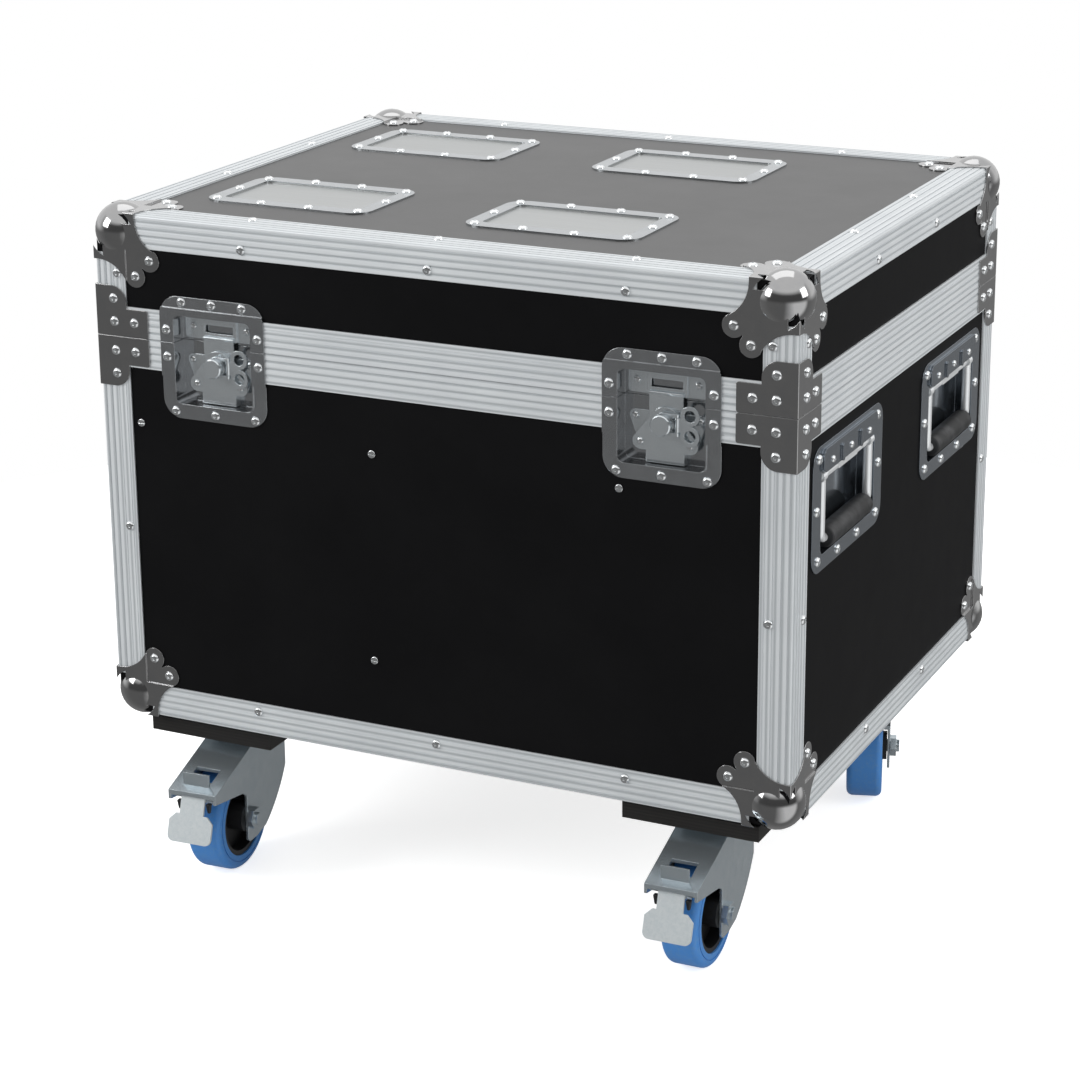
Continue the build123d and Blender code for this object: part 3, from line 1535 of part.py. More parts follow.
for name, spots, small_spots in rivet_groups:
    with BuildPart() as rivets:
        with Locations(*spots):
            add(rivet_head)
        with Locations(*small_spots):
            add(small_rivet_head)
    rivets.part.label = name
    export_step(rivets.part, f"parts/{name}.step")

screw_places = [(edge_leg + screw_edge_gap - half_width, screw_high_rise)]
screw_places += [(x, screw_high_rise) for x in divider_xs]
screw_places += [(divider_xs[0] - screw_low_shift, screw_low_rise)]
screw_spots = [on_face(front_face, x, case_bottom + rise, -edge_sheet) for x, rise in screw_places]
with BuildPart() as panel_screws:
    with Locations(*screw_spots):
        add(screw_head.part)
panel_screws.part.label = "panel_screws"
export_step(panel_screws.part, "parts/panel_screws.step")
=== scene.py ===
import json
import logging
import math
from dataclasses import dataclass, field
from enum import Enum

import bmesh
import bpy
from mathutils import Matrix, Vector


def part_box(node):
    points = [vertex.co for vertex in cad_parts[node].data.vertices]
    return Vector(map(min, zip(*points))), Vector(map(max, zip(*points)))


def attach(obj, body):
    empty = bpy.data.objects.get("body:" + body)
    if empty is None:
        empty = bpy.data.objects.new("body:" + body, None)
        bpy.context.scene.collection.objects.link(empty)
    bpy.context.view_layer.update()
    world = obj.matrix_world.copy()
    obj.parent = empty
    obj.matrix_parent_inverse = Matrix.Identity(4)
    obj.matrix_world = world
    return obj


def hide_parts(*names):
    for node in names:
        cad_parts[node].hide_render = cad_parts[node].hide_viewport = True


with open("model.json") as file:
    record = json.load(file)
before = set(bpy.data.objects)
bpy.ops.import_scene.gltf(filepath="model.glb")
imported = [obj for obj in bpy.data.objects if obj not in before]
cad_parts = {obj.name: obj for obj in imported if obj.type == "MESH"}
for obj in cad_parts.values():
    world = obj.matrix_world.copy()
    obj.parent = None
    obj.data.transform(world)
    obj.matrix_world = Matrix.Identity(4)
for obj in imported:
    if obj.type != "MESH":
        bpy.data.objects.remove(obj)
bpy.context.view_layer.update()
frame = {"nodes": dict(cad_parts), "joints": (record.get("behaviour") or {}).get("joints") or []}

MM = 0.001
ROUND = 0.5  # a bevel's profile that makes a quarter circle
log = logging.getLogger("flight_case")


def linear(code: str) -> tuple[float, float, float, float]:
    """Turn an sRGB hex colour into the linear colour that a shader socket takes.

    Args:
        code: six hex digits, such as "c8cacc".

    Returns:
        Linear red, green and blue, then 1 for full alpha.
    """
    found = []
    for start in (0, 2, 4):
        value = int(code[start:start + 2], 16) / 255
        found.append(value / 12.92 if value <= 0.04045 else ((value + 0.055) / 1.055) ** 2.4)
    return (*found, 1.0)


def feed(node: bpy.types.Node, settings: dict | None = None, links: dict | None = None) -> None:
    """Set what a node holds and link what comes into it.

    Args:
        node: the node.
        settings: attributes by name, and input values by input name or number.
        links: output sockets by the name or number of the input that they feed.
    """
    for key, value in (settings or {}).items():
        if isinstance(key, str) and hasattr(node, key):
            setattr(node, key, value)
        else:
            node.inputs[key].default_value = value
    for key, socket in (links or {}).items():
        node.id_data.links.new(socket, node.inputs[key])


def add_node(
    tree: bpy.types.NodeTree, kind: str, settings: dict | None = None, links: dict | None = None
) -> bpy.types.Node:
    """Add one shader node with its settings and its incoming links.

    Args:
        tree: node tree that the node joins.
        kind: Blender's name of the node type, without the ShaderNode in front.
        settings: what feed() sets.
        links: what feed() links.

    Returns:
        The new node.
    """
    node = tree.nodes.new(f"ShaderNode{kind}")
    feed(node, settings, links)
    return node


class Run(Enum):
    """Ways that the drawn lines of a profile can run, by the number of the axis."""

    WIDTH = 0
    DEPTH = 1
    HEIGHT = 2


@dataclass(frozen=True)
class Case:
    """Outer sizes of the case body in metres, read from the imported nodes."""

    half_width: float
    half_depth: float
    middle_y: float

    @classmethod
    def measured(cls) -> "Case":
        """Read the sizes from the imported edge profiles.

        Returns:
            The case's sizes.
        """
        low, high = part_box("base_edge_profiles")
        return cls(
            half_width=(high.x - low.x) / 2,
            half_depth=(high.y - low.y) / 2,
            middle_y=(high.y + low.y) / 2,
        )


def new_material(name: str) -> tuple[bpy.types.Material, bpy.types.Node, bpy.types.NodeTree]:
    """Make a material with a principled surface.

    Args:
        name: the material's name.

    Returns:
        The material, its surface node and its node tree.
    """
    material = bpy.data.materials.new(name)
    material.use_nodes = True
    return material, material.node_tree.nodes["Principled BSDF"], material.node_tree


@dataclass(frozen=True)
class PhenolicLaminate:
    """Birch plywood faced with pressed phenolic laminate: near black, satin, finely pebbled."""

    name: str = "phenolic_laminate"
    colour: str = "121213"
    worn_colour: str = "151516"
    pebble_mm: float = 1.1
    pebble_depth_mm: float = 0.2
    mark_mm: float = 111.0
    roughness: float = 0.42
    roughness_spread: float = 0.04
    specular: float = 0.03
    bump: float = 0.08

    def build(self) -> bpy.types.Material:
        """Build the material.

        Returns:
            The material.
        """
        material, surface, tree = new_material(self.name)
        where = add_node(tree, "TexCoord").outputs["Object"]
        # A pressed sheet shows a soft pebble that scatters the light, and faint hand marks
        pebble = add_node(
            tree, "TexNoise",
            {"Scale": 1 / (self.pebble_mm * MM), "Detail": 3.0, "Roughness": 0.6}, {"Vector": where},
        )
        marks = add_node(
            tree, "TexNoise",
            {"Scale": 1 / (self.mark_mm * MM), "Detail": 4.0, "Roughness": 0.65}, {"Vector": where},
        )
        blend = add_node(
            tree, "MapRange", {"From Min": 0.35, "From Max": 0.75}, {"Value": marks.outputs["Fac"]}
        )
        tint = add_node(
            tree, "Mix",
            {"data_type": "RGBA", 6: linear(self.colour), 7: linear(self.worn_colour)},
            {0: blend.outputs[0]},
        )
        rough = add_node(
            tree, "MapRange",
            {
                "From Min": 0.3, "From Max": 0.7,
                "To Min": self.roughness - self.roughness_spread,
                "To Max": self.roughness + self.roughness_spread,
            },
            {"Value": marks.outputs["Fac"]},
        )
        bump = add_node(
            tree, "Bump",
            {"Strength": self.bump, "Distance": self.pebble_depth_mm * MM},
            {"Height": pebble.outputs["Fac"]},
        )
        feed(
            surface, {"Specular IOR Level": self.specular},
            {"Base Color": tint.outputs[2], "Roughness": rough.outputs[0], "Normal": bump.outputs[0]},
        )
        return material


@dataclass(frozen=True)
class StainedPlywood:
    """Birch plywood stained black and left matt: faint grain, pale lines of the plies on its edges."""

    name: str = "stained_plywood"
    colour: str = "161514"
    grain_colour: str = "26221f"
    grain_mm: float = 3.0
    grain_stretch: float = 0.06
    grain_depth_mm: float = 0.3
    ply_mm: float = 1.5
    roughness: float = 0.62
    bump: float = 0.25

    def build(self) -> bpy.types.Material:
        """Build the material.

        Returns:
            The material.
        """
        material, surface, tree = new_material(self.name)
        where = add_node(tree, "TexCoord").outputs["Object"]
        # Grain runs along X and opens as long fine pores
        stretched = add_node(
            tree, "Mapping", {"Scale": (self.grain_stretch, 1.0, 1.0)}, {"Vector": where}
        )
        grain = add_node(
            tree, "TexNoise",
            {"Scale": 1 / (self.grain_mm * MM), "Detail": 5.0, "Roughness": 0.6},
            {"Vector": stretched.outputs[0]},
        )
        plies = add_node(
            tree, "TexWave",
            {
                "bands_direction": "Z", "Scale": 1 / (self.ply_mm * MM * math.tau),
                "Distortion": 0.6, "Detail": 2.0, "Detail Scale": 3.0,
            },
            {"Vector": where},
        )
        both = add_node(
            tree, "Math", {"operation": "MULTIPLY"}, {0: grain.outputs["Fac"], 1: plies.outputs["Fac"]}
        )
        tint = add_node(
            tree, "Mix",
            {"data_type": "RGBA", 6: linear(self.colour), 7: linear(self.grain_colour)},
            {0: both.outputs[0]},
        )
        bump = add_node(
            tree, "Bump", {"Strength": self.bump, "Distance": self.grain_depth_mm * MM},
            {"Height": both.outputs[0]},
        )
        feed(
            surface, {"Roughness": self.roughness},
            {"Base Color": tint.outputs[2], "Normal": bump.outputs[0]},
        )
        return material


@dataclass(frozen=True)
class ExtrudedAluminium:
    """Anodised extruded aluminium: satin, with fine die lines along each profile."""

    name: str = "extruded_aluminium"
    colour: str = "e4e8ea"
    line_colour: str = "d6dadd"
    groove_shade_colour: str = "b4b9bc"
    line_mm: float = 1.2
    line_length_mm: float = 400.0
    line_depth_mm: float = 0.1
    cloud_mm: float = 71.4
    roughness: float = 0.42
    roughness_spread: float = 0.04
    metallic: float = 0.3
    bump: float = 0.05
    rib_pitch_mm: float = 6.2
    groove_share: float = 0.34
    groove_depth_mm: float = 0.45
    groove_bump: float = 0.7
    flat_top_share: float = 0.75
    facing_limit: float = 0.7
    case: Case = field(default_factory=Case.measured)
    leg_mm: float = 31.0

    def grooves(
        self, tree: bpy.types.NodeTree, split: bpy.types.Node,
        at_side: bpy.types.NodeSocket, on_post: bpy.types.NodeSocket,
    ) -> bpy.types.NodeSocket:
        """Add the narrow grooves that the die leaves between a profile's flat ribs.

        Args:
            tree: node tree to add to.
            split: the place's three coordinates.
            at_side: 1 near the case's sides.
            on_post: 1 on the upright profiles.

        Returns:
            1 on the ribs and 0 at the bottom of a groove.
        """
        facing = add_node(tree, "SeparateXYZ", None, {0: add_node(tree, "TexCoord").outputs["Normal"]})
        turned = []
        for number in (0, 2):
            size = add_node(tree, "Math", {"operation": "ABSOLUTE"}, {0: facing.outputs[number]})
            turned.append(
                add_node(
                    tree, "Math", {"operation": "GREATER_THAN", 1: self.facing_limit},
                    {0: size.outputs[0]},
                ).outputs[0]
            )
        faces_side, faces_up = turned
        wide, deep, tall = split.outputs
        choice = {"data_type": "FLOAT"}
        level_across = add_node(tree, "Mix", choice, {0: at_side, 2: deep, 3: wide})
        rail = add_node(tree, "Mix", choice, {0: faces_up, 2: tall, 3: level_across.outputs[0]})
        post = add_node(tree, "Mix", choice, {0: faces_side, 2: wide, 3: deep})
        across = add_node(tree, "Mix", choice, {0: on_post, 2: rail.outputs[0], 3: post.outputs[0]})
        turns = add_node(
            tree, "Math", {"operation": "MULTIPLY", 1: 1 / (self.rib_pitch_mm * MM)},
            {0: across.outputs[0]},
        )
        part = add_node(tree, "Math", {"operation": "FRACT"}, {0: turns.outputs[0]})
        off = add_node(tree, "Math", {"operation": "SUBTRACT", 1: 0.5}, {0: part.outputs[0]})
        gap = add_node(tree, "Math", {"operation": "ABSOLUTE"}, {0: off.outputs[0]})
        ribs = add_node(
            tree, "MapRange",
            {"interpolation_type": "SMOOTHSTEP", "From Min": 0.0, "From Max": self.groove_share},
            {"Value": gap.outputs[0]},
        )
        # On faces that look up the grooves are drawn fainter: seen at a low angle, they broke into
        # a diamond pattern
        depth = add_node(tree, "Math", {"operation": "MULTIPLY", 1: self.flat_top_share}, {0: faces_up})
        filled = add_node(
            tree, "Math", {"operation": "MAXIMUM"}, {0: ribs.outputs[0], 1: depth.outputs[0]}
        )
        return filled.outputs[0]

    def stretched_lines(
        self, tree: bpy.types.NodeTree, where: bpy.types.NodeSocket, run: Run
    ) -> bpy.types.NodeSocket:
        """Add a noise drawn out along one axis.

        Args:
            tree: node tree to add to.
            where: coordinates to read.
            run: the axis that the lines run along.

        Returns:
            The noise's value.
        """
        across = 1 / (self.line_mm * MM)
        scale = [across] * 3
        scale[run.value] = 1 / (self.line_length_mm * MM)
        mapped = add_node(tree, "Mapping", {"Scale": scale}, {"Vector": where})
        noise = add_node(
            tree, "TexNoise", {"Scale": 1.0, "Detail": 3.0, "Roughness": 0.65},
            {"Vector": mapped.outputs[0]},
        )
        return noise.outputs["Fac"]

    def near_edge(
        self, tree: bpy.types.NodeTree, value: bpy.types.NodeSocket, middle: float, half: float
    ) -> bpy.types.NodeSocket:
        """Tell whether a place is within a profile's leg of two opposite faces.

        Args:
            tree: node tree to add to.
            value: one coordinate of the place.
            middle: that coordinate of the case's middle.
            half: half the case's size along it.

        Returns:
            1 near the faces and 0 elsewhere.
        """
        centred = add_node(tree, "Math", {"operation": "SUBTRACT", 1: middle}, {0: value})
        size = add_node(tree, "Math", {"operation": "ABSOLUTE"}, {0: centred.outputs[0]})
        limit = half - self.leg_mm * MM
        return add_node(
            tree, "Math", {"operation": "GREATER_THAN", 1: limit}, {0: size.outputs[0]}
        ).outputs[0]

    def build(self) -> bpy.types.Material:
        """Build the material.

        Returns:
            The material.
        """
        material, surface, tree = new_material(self.name)
        where = add_node(tree, "TexCoord").outputs["Object"]
        split = add_node(tree, "SeparateXYZ", None, {0: where})
        at_side = self.near_edge(tree, split.outputs[0], 0.0, self.case.half_width)
        at_front = self.near_edge(tree, split.outputs[1], self.case.middle_y, self.case.half_depth)
        # The die leaves its lines along each profile: up the posts, and level along the rails.
        # They are drawn coarser than real, so that they show
        level = add_node(
            tree, "Mix", {"data_type": "FLOAT"},
            {
                0: at_side,
                2: self.stretched_lines(tree, where, Run.WIDTH),
                3: self.stretched_lines(tree, where, Run.DEPTH),
            },
        )
        post = add_node(tree, "Math", {"operation": "MULTIPLY"}, {0: at_side, 1: at_front})
        lines = add_node(
            tree, "Mix", {"data_type": "FLOAT"},
            {
                0: post.outputs[0], 2: level.outputs[0],
                3: self.stretched_lines(tree, where, Run.HEIGHT),
            },
        )
        cloud = add_node(
            tree, "TexNoise", {"Scale": 1 / (self.cloud_mm * MM), "Detail": 3.0}, {"Vector": where}
        )
        mixed = add_node(
            tree, "Math", {"operation": "MULTIPLY"}, {0: lines.outputs[0], 1: cloud.outputs["Fac"]}
        )
        spread = add_node(
            tree, "MapRange", {"From Min": 0.12, "From Max": 0.42}, {"Value": mixed.outputs[0]}
        )
        tint = add_node(
            tree, "Mix",
            {"data_type": "RGBA", 6: linear(self.line_colour), 7: linear(self.colour)},
            {0: spread.outputs[0]},
        )
        ribs = self.grooves(tree, split, at_side, post.outputs[0])
        # Painted shade: the groove bottoms take a darker colour, where shade would fall in them; the
        # bump below sinks them as well
        groove_shaded = add_node(
            tree, "Mix", {"data_type": "RGBA", 6: linear(self.groove_shade_colour)},
            {0: ribs, 7: tint.outputs[2]},
        )
        rough = add_node(
            tree, "MapRange",
            {
                "From Min": 0.3, "From Max": 0.7,
                "To Min": self.roughness + self.roughness_spread,
                "To Max": self.roughness - self.roughness_spread,
            },
            {"Value": lines.outputs[0]},
        )
        fine = add_node(
            tree, "Bump", {"Strength": self.bump, "Distance": self.line_depth_mm * MM},
            {"Height": lines.outputs[0]},
        )
        bump = add_node(
            tree, "Bump",
            {"Strength": self.groove_bump, "Distance": self.groove_depth_mm * MM},
            {"Height": ribs, "Normal": fine.outputs[0]},
        )
        feed(
            surface, {"Metallic": self.metallic},
            {"Base Color": groove_shaded.outputs[2], "Roughness": rough.outputs[0], "Normal": bump.outputs[0]},
        )
        return material


@dataclass(frozen=True)
class PlatedSteel:
    """Pressed sheet steel with a bright nickel and chromium plate: mirror-like, a little wavy."""

    name: str = "bright_plated_steel"
    colour: str = "b4b3b2"
    haze_colour: str = "a3a4a6"
    wave_mm: float = 26.0
    wave_depth_mm: float = 0.5
    scratch_mm: float = 0.7
    haze_mm: float = 16.67
    roughness: float = 0.12
    roughness_spread: float = 0.03
    bump: float = 0.22
    edge_mm: float = 0.7
    metallic: float = 1.0

    def build(self) -> bpy.types.Material:
        """Build the material.

        Returns:
            The material.
        """
        material, surface, tree = new_material(self.name)
        where = add_node(tree, "TexCoord").outputs["Object"]
        # Tumbled sheet has soft bright edges, the press leaves long waves, and polishing a faint
        # haze of scratches, drawn coarser than real so that it shows
        edge = add_node(tree, "Bevel", {"samples": 6, "Radius": self.edge_mm * MM})
        wave = add_node(
            tree, "TexNoise",
            {"Scale": 1 / (self.wave_mm * MM), "Detail": 1.0, "Roughness": 0.4}, {"Vector": where},
        )
        scratch = add_node(
            tree, "TexNoise",
            {"Scale": 1 / (self.scratch_mm * MM), "Detail": 4.0, "Roughness": 0.7, "Distortion": 0.6},
            {"Vector": where},
        )
        haze = add_node(
            tree, "TexNoise",
            {"Scale": 1 / (self.haze_mm * MM), "Detail": 4.0, "Roughness": 0.7}, {"Vector": where},
        )
        tint = add_node(
            tree, "Mix",
            {"data_type": "RGBA", 6: linear(self.colour), 7: linear(self.haze_colour)},
            {0: haze.outputs["Fac"]},
        )
        cloud = add_node(
            tree, "Math", {"operation": "MULTIPLY"}, {0: haze.outputs["Fac"], 1: scratch.outputs["Fac"]}
        )
        rough = add_node(
            tree, "MapRange",
            {
                "From Min": 0.15, "From Max": 0.45,
                "To Min": self.roughness - self.roughness_spread,
                "To Max": self.roughness + self.roughness_spread,
            },
            {"Value": cloud.outputs[0]},
        )
        bump = add_node(
            tree, "Bump",
            {"Strength": self.bump, "Distance": self.wave_depth_mm * MM},
            {"Height": wave.outputs["Fac"], "Normal": edge.outputs[0]},
        )
        feed(
            surface, {"Metallic": self.metallic},
            {"Base Color": tint.outputs[2], "Roughness": rough.outputs[0], "Normal": bump.outputs[0]},
        )
        return material


@dataclass(frozen=True)
class BrushedDish:
    """Zinc-plated pressing: a plain flange, and a floor brushed along X."""

    name: str = "brushed_dish_steel"
    flange_colour: str = "b3b7ba"
    floor_colour: str = "b9bbbb"
    brush_mm: float = 0.5
    brush_length_mm: float = 60.0
    brush_depth_mm: float = 0.08
    cloud_mm: float = 22.22
    darkest_line: float = 0.86
    flange_roughness: float = 0.24
    floor_roughness: float = 0.42
    floor_level: float = 0.0
    bump: float = 0.2

    def build(self) -> bpy.types.Material:
        """Build the material.

        Returns:
            The material.
        """
        material, surface, tree = new_material(self.name)
        where = add_node(tree, "TexCoord").outputs["Object"]
        height = add_node(tree, "SeparateXYZ", None, {0: where})
        on_floor = add_node(
            tree, "Math", {"operation": "LESS_THAN", 1: self.floor_level}, {0: height.outputs[2]}
        )
        # Brushing draws fine lines along the floor that blur what it reflects. They are drawn
        # coarser than real, so that they show
        mapped = add_node(
            tree, "Mapping",
            {"Scale": (1 / (self.brush_length_mm * MM), 1 / (self.brush_mm * MM), 1.0)},
            {"Vector": where},
        )
        lines = add_node(
            tree, "TexNoise", {"Scale": 1.0, "Detail": 3.0, "Roughness": 0.6},
            {"Vector": mapped.outputs[0]},
        )
        cloud = add_node(
            tree, "TexNoise",
            {"Scale": 1 / (self.cloud_mm * MM), "Detail": 5.0, "Roughness": 0.7}, {"Vector": where},
        )
        pattern = add_node(
            tree, "Mix", {"data_type": "FLOAT"},
            {0: on_floor.outputs[0], 2: cloud.outputs["Fac"], 3: lines.outputs["Fac"]},
        )
        tint = add_node(
            tree, "Mix",
            {"data_type": "RGBA", 6: linear(self.flange_colour), 7: linear(self.floor_colour)},
            {0: on_floor.outputs[0]},
        )
        shade = add_node(
            tree, "MapRange",
            {"From Min": 0.3, "From Max": 0.7, "To Min": self.darkest_line},
            {"Value": pattern.outputs[0]},
        )
        shaded = add_node(
            tree, "VectorMath", {"operation": "SCALE"}, {0: tint.outputs[2], 3: shade.outputs[0]}
        )
        rough = add_node(
            tree, "MapRange",
            {"To Min": self.flange_roughness, "To Max": self.floor_roughness},
            {"Value": on_floor.outputs[0]},
        )
        bump = add_node(
            tree, "Bump", {"Strength": self.bump, "Distance": self.brush_depth_mm * MM},
            {"Height": pattern.outputs[0]},
        )
        feed(
            surface, {"Metallic": 1.0},
            {"Base Color": shaded.outputs[0], "Roughness": rough.outputs[0], "Normal": bump.outputs[0]},
        )
        return material


@dataclass(frozen=True)
class ZincPlate:
    """Blue-passivated zinc plate on pressed or cut steel: satin, with soft cloudy patches."""

    name: str = "zinc_plate"
    colour: str = "c2cbd0"
    patch_colour: str = "b9c3c9"
    patch_mm: float = 9.0
    grain_mm: float = 0.8
    grain_depth_mm: float = 0.06
    roughness: float = 0.24
    roughness_spread: float = 0.03
    metallic: float = 0.8
    bump: float = 0.04
    edge_mm: float = 0.8

    def build(self) -> bpy.types.Material:
        """Build the material.

        Returns:
            The material.
        """
        material, surface, tree = new_material(self.name)
        where = add_node(tree, "TexCoord").outputs["Object"]
        # Passivated zinc clouds over in patches and has soft edges. Its crystals give a fine tooth,
        # drawn coarser than real so that it shows
        edge = add_node(tree, "Bevel", {"samples": 6, "Radius": self.edge_mm * MM})
        patches = add_node(
            tree, "TexNoise",
            {"Scale": 1 / (self.patch_mm * MM), "Detail": 5.0, "Roughness": 0.62, "Distortion": 0.4},
            {"Vector": where},
        )
        grain = add_node(
            tree, "TexNoise", {"Scale": 1 / (self.grain_mm * MM), "Detail": 3.0}, {"Vector": where}
        )
        spread = add_node(
            tree, "MapRange", {"From Min": 0.35, "From Max": 0.65}, {"Value": patches.outputs["Fac"]}
        )
        tint = add_node(
            tree, "Mix",
            {"data_type": "RGBA", 6: linear(self.patch_colour), 7: linear(self.colour)},
            {0: spread.outputs[0]},
        )
        rough = add_node(
            tree, "MapRange",
            {
                "To Min": self.roughness + self.roughness_spread,
                "To Max": self.roughness - self.roughness_spread,
            },
            {"Value": spread.outputs[0]},
        )
        bump = add_node(
            tree, "Bump", {"Strength": self.bump, "Distance": self.grain_depth_mm * MM},
            {"Height": grain.outputs["Fac"], "Normal": edge.outputs[0]},
        )
        feed(
            surface, {"Metallic": self.metallic},
            {"Base Color": tint.outputs[2], "Roughness": rough.outputs[0], "Normal": bump.outputs[0]},
        )
        return material


@dataclass(frozen=True)
class MouldedRubber:
    """Moulded rubber of a grip: near black, matt, with a fine eroded skin."""

    name: str = "moulded_rubber"
    colour: str = "1c1d1e"
    worn_colour: str = "2a2b2e"
    skin_mm: float = 0.9
    skin_depth_mm: float = 0.12
    worn_mm: float = 14.29
    roughness: float = 0.55
    roughness_spread: float = 0.08
    bump: float = 0.35

    def build(self) -> bpy.types.Material:
        """Build the material.

        Returns:
            The material.
        """
        material, surface, tree = new_material(self.name)
        where = add_node(tree, "TexCoord").outputs["Object"]
        # The eroded mould gives a fine tooth, drawn coarser than real so that it shows, and hands
        # polish it in patches
        skin = add_node(
            tree, "TexNoise",
            {"Scale": 1 / (self.skin_mm * MM), "Detail": 4.0, "Roughness": 0.7}, {"Vector": where},
        )
        worn = add_node(
            tree, "TexNoise", {"Scale": 1 / (self.worn_mm * MM), "Detail": 3.0}, {"Vector": where}
        )
        spread = add_node(
            tree, "MapRange", {"From Min": 0.4, "From Max": 0.7}, {"Value": worn.outputs["Fac"]}
        )
        tint = add_node(
            tree, "Mix",
            {"data_type": "RGBA", 6: linear(self.colour), 7: linear(self.worn_colour)},
            {0: spread.outputs[0]},
        )
        rough = add_node(
            tree, "MapRange",
            {
                "To Min": self.roughness + self.roughness_spread,
                "To Max": self.roughness - self.roughness_spread,
            },
            {"Value": spread.outputs[0]},
        )
        bump = add_node(
            tree, "Bump", {"Strength": self.bump, "Distance": self.skin_depth_mm * MM},
            {"Height": skin.outputs["Fac"]},
        )
        feed(
            surface, None,
            {"Base Color": tint.outputs[2], "Roughness": rough.outputs[0], "Normal": bump.outputs[0]},
        )
        return material


@dataclass(frozen=True)
class TyreRubber:
    """Blue elastic rubber of a castor tyre: satin, with a slightly scuffed tread."""

    name: str = "blue_elastic_rubber"
    colour: str = "3f82c8"
    scuff_colour: str = "5f8cb8"
    scuff_mm: float = 4.0
    scuff_depth_mm: float = 0.1
    roughness: float = 0.42
    bump: float = 0.2

    def build(self) -> bpy.types.Material:
        """Build the material.

        Returns:
            The material.
        """
        material, surface, tree = new_material(self.name)
        where = add_node(tree, "TexCoord").outputs["Object"]
        # Elastic rubber is evenly dyed, and its tread greys a little where it has rolled
        scuff = add_node(
            tree, "TexNoise",
            {"Scale": 1 / (self.scuff_mm * MM), "Detail": 5.0, "Roughness": 0.7}, {"Vector": where},
        )
        spread = add_node(
            tree, "MapRange", {"From Min": 0.5, "From Max": 0.85}, {"Value": scuff.outputs["Fac"]}
        )
        tint = add_node(
            tree, "Mix",
            {"data_type": "RGBA", 6: linear(self.colour), 7: linear(self.scuff_colour)},
            {0: spread.outputs[0]},
        )
        bump = add_node(
            tree, "Bump", {"Strength": self.bump, "Distance": self.scuff_depth_mm * MM},
            {"Height": scuff.outputs["Fac"]},
        )
        feed(
            surface, {"Roughness": self.roughness},
            {"Base Color": tint.outputs[2], "Normal": bump.outputs[0]},
        )
        return material


@dataclass(frozen=True)
class MouldedNylon:
    """Black injection-moulded nylon of a wheel's centre: satin, with faint flow marks."""

    name: str = "black_moulded_nylon"
    colour: str = "141415"
    flow_colour: str = "1f2022"
    flow_mm: float = 12.0
    skin_mm: float = 0.714
    skin_depth_mm: float = 0.08
    roughness: float = 0.45
    bump: float = 0.15

    def build(self) -> bpy.types.Material:
        """Build the material.

        Returns:
            The material.
        """
        material, surface, tree = new_material(self.name)
        where = add_node(tree, "TexCoord").outputs["Object"]
        # Nylon cools with soft flow marks, and the mould gives it a fine spark-eroded skin, drawn
        # coarser than real so that it shows
        flow = add_node(
            tree, "TexNoise",
            {"Scale": 1 / (self.flow_mm * MM), "Detail": 2.0, "Distortion": 1.2}, {"Vector": where},
        )
        skin = add_node(
            tree, "TexNoise", {"Scale": 1 / (self.skin_mm * MM), "Detail": 2.0}, {"Vector": where}
        )
        tint = add_node(
            tree, "Mix",
            {"data_type": "RGBA", 6: linear(self.colour), 7: linear(self.flow_colour)},
            {0: flow.outputs["Fac"]},
        )
        bump = add_node(
            tree, "Bump", {"Strength": self.bump, "Distance": self.skin_depth_mm * MM},
            {"Height": skin.outputs["Fac"]},
        )
        feed(
            surface, {"Roughness": self.roughness},
            {"Base Color": tint.outputs[2], "Normal": bump.outputs[0]},
        )
        return material


@dataclass(frozen=True)
class ClosedCellFoam:
    """Charcoal polyethylene foam: matt, with small closed cells."""

    name: str = "closed_cell_foam"
    colour: str = "2b2b2e"
    cell_pit_shade_colour: str = "1b1b1d"
    cell_mm: float = 1.6
    cell_depth_mm: float = 0.3
    roughness: float = 0.9
    bump: float = 0.6

    def build(self) -> bpy.types.Material:
        """Build the material.

        Returns:
            The material.
        """
        material, surface, tree = new_material(self.name)
        where = add_node(tree, "TexCoord").outputs["Object"]
        # Cut cells show as small pits under a dry, scattering surface; the pit bottoms are painted
        # darker, a painted shade
        cells = add_node(
            tree, "TexVoronoi", {"feature": "F1", "Scale": 1 / (self.cell_mm * MM)}, {"Vector": where}
        )
        tint = add_node(
            tree, "Mix",
            {"data_type": "RGBA", 6: linear(self.cell_pit_shade_colour), 7: linear(self.colour)},
            {0: cells.outputs["Distance"]},
        )
        bump = add_node(
            tree, "Bump", {"Strength": self.bump, "Distance": self.cell_depth_mm * MM},
            {"Height": cells.outputs["Distance"]},
        )
        feed(
            surface, {"Roughness": self.roughness},
            {"Base Color": tint.outputs[2], "Normal": bump.outputs[0]},
        )
        return material


def dress(node: str, material: bpy.types.Material) -> None:
    """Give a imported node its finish.

    Args:
        node: the node's name.
        material: the finish.
    """
    found = frame["nodes"][node]
    found.data.materials.clear()
    found.data.materials.append(material)
    log.info("%s: %s", node, material.name)


def link_piece(name: str, mesh: bmesh.types.BMesh, material: bpy.types.Material) -> bpy.types.Object:
    """Turn a mesh being built into an object of the scene.

    Args:
        name: the piece's name.
        mesh: the finished mesh, which is freed.
        material: the piece's finish.

    Returns:
        The new object.
    """
    data = bpy.data.meshes.new(name)
    mesh.normal_update()
    mesh.to_mesh(data)
    mesh.free()
    data.materials.append(material)
    piece = bpy.data.objects.new(name, data)
    bpy.context.scene.collection.objects.link(piece)
    for polygon in data.polygons:
        polygon.use_smooth = True
    return piece


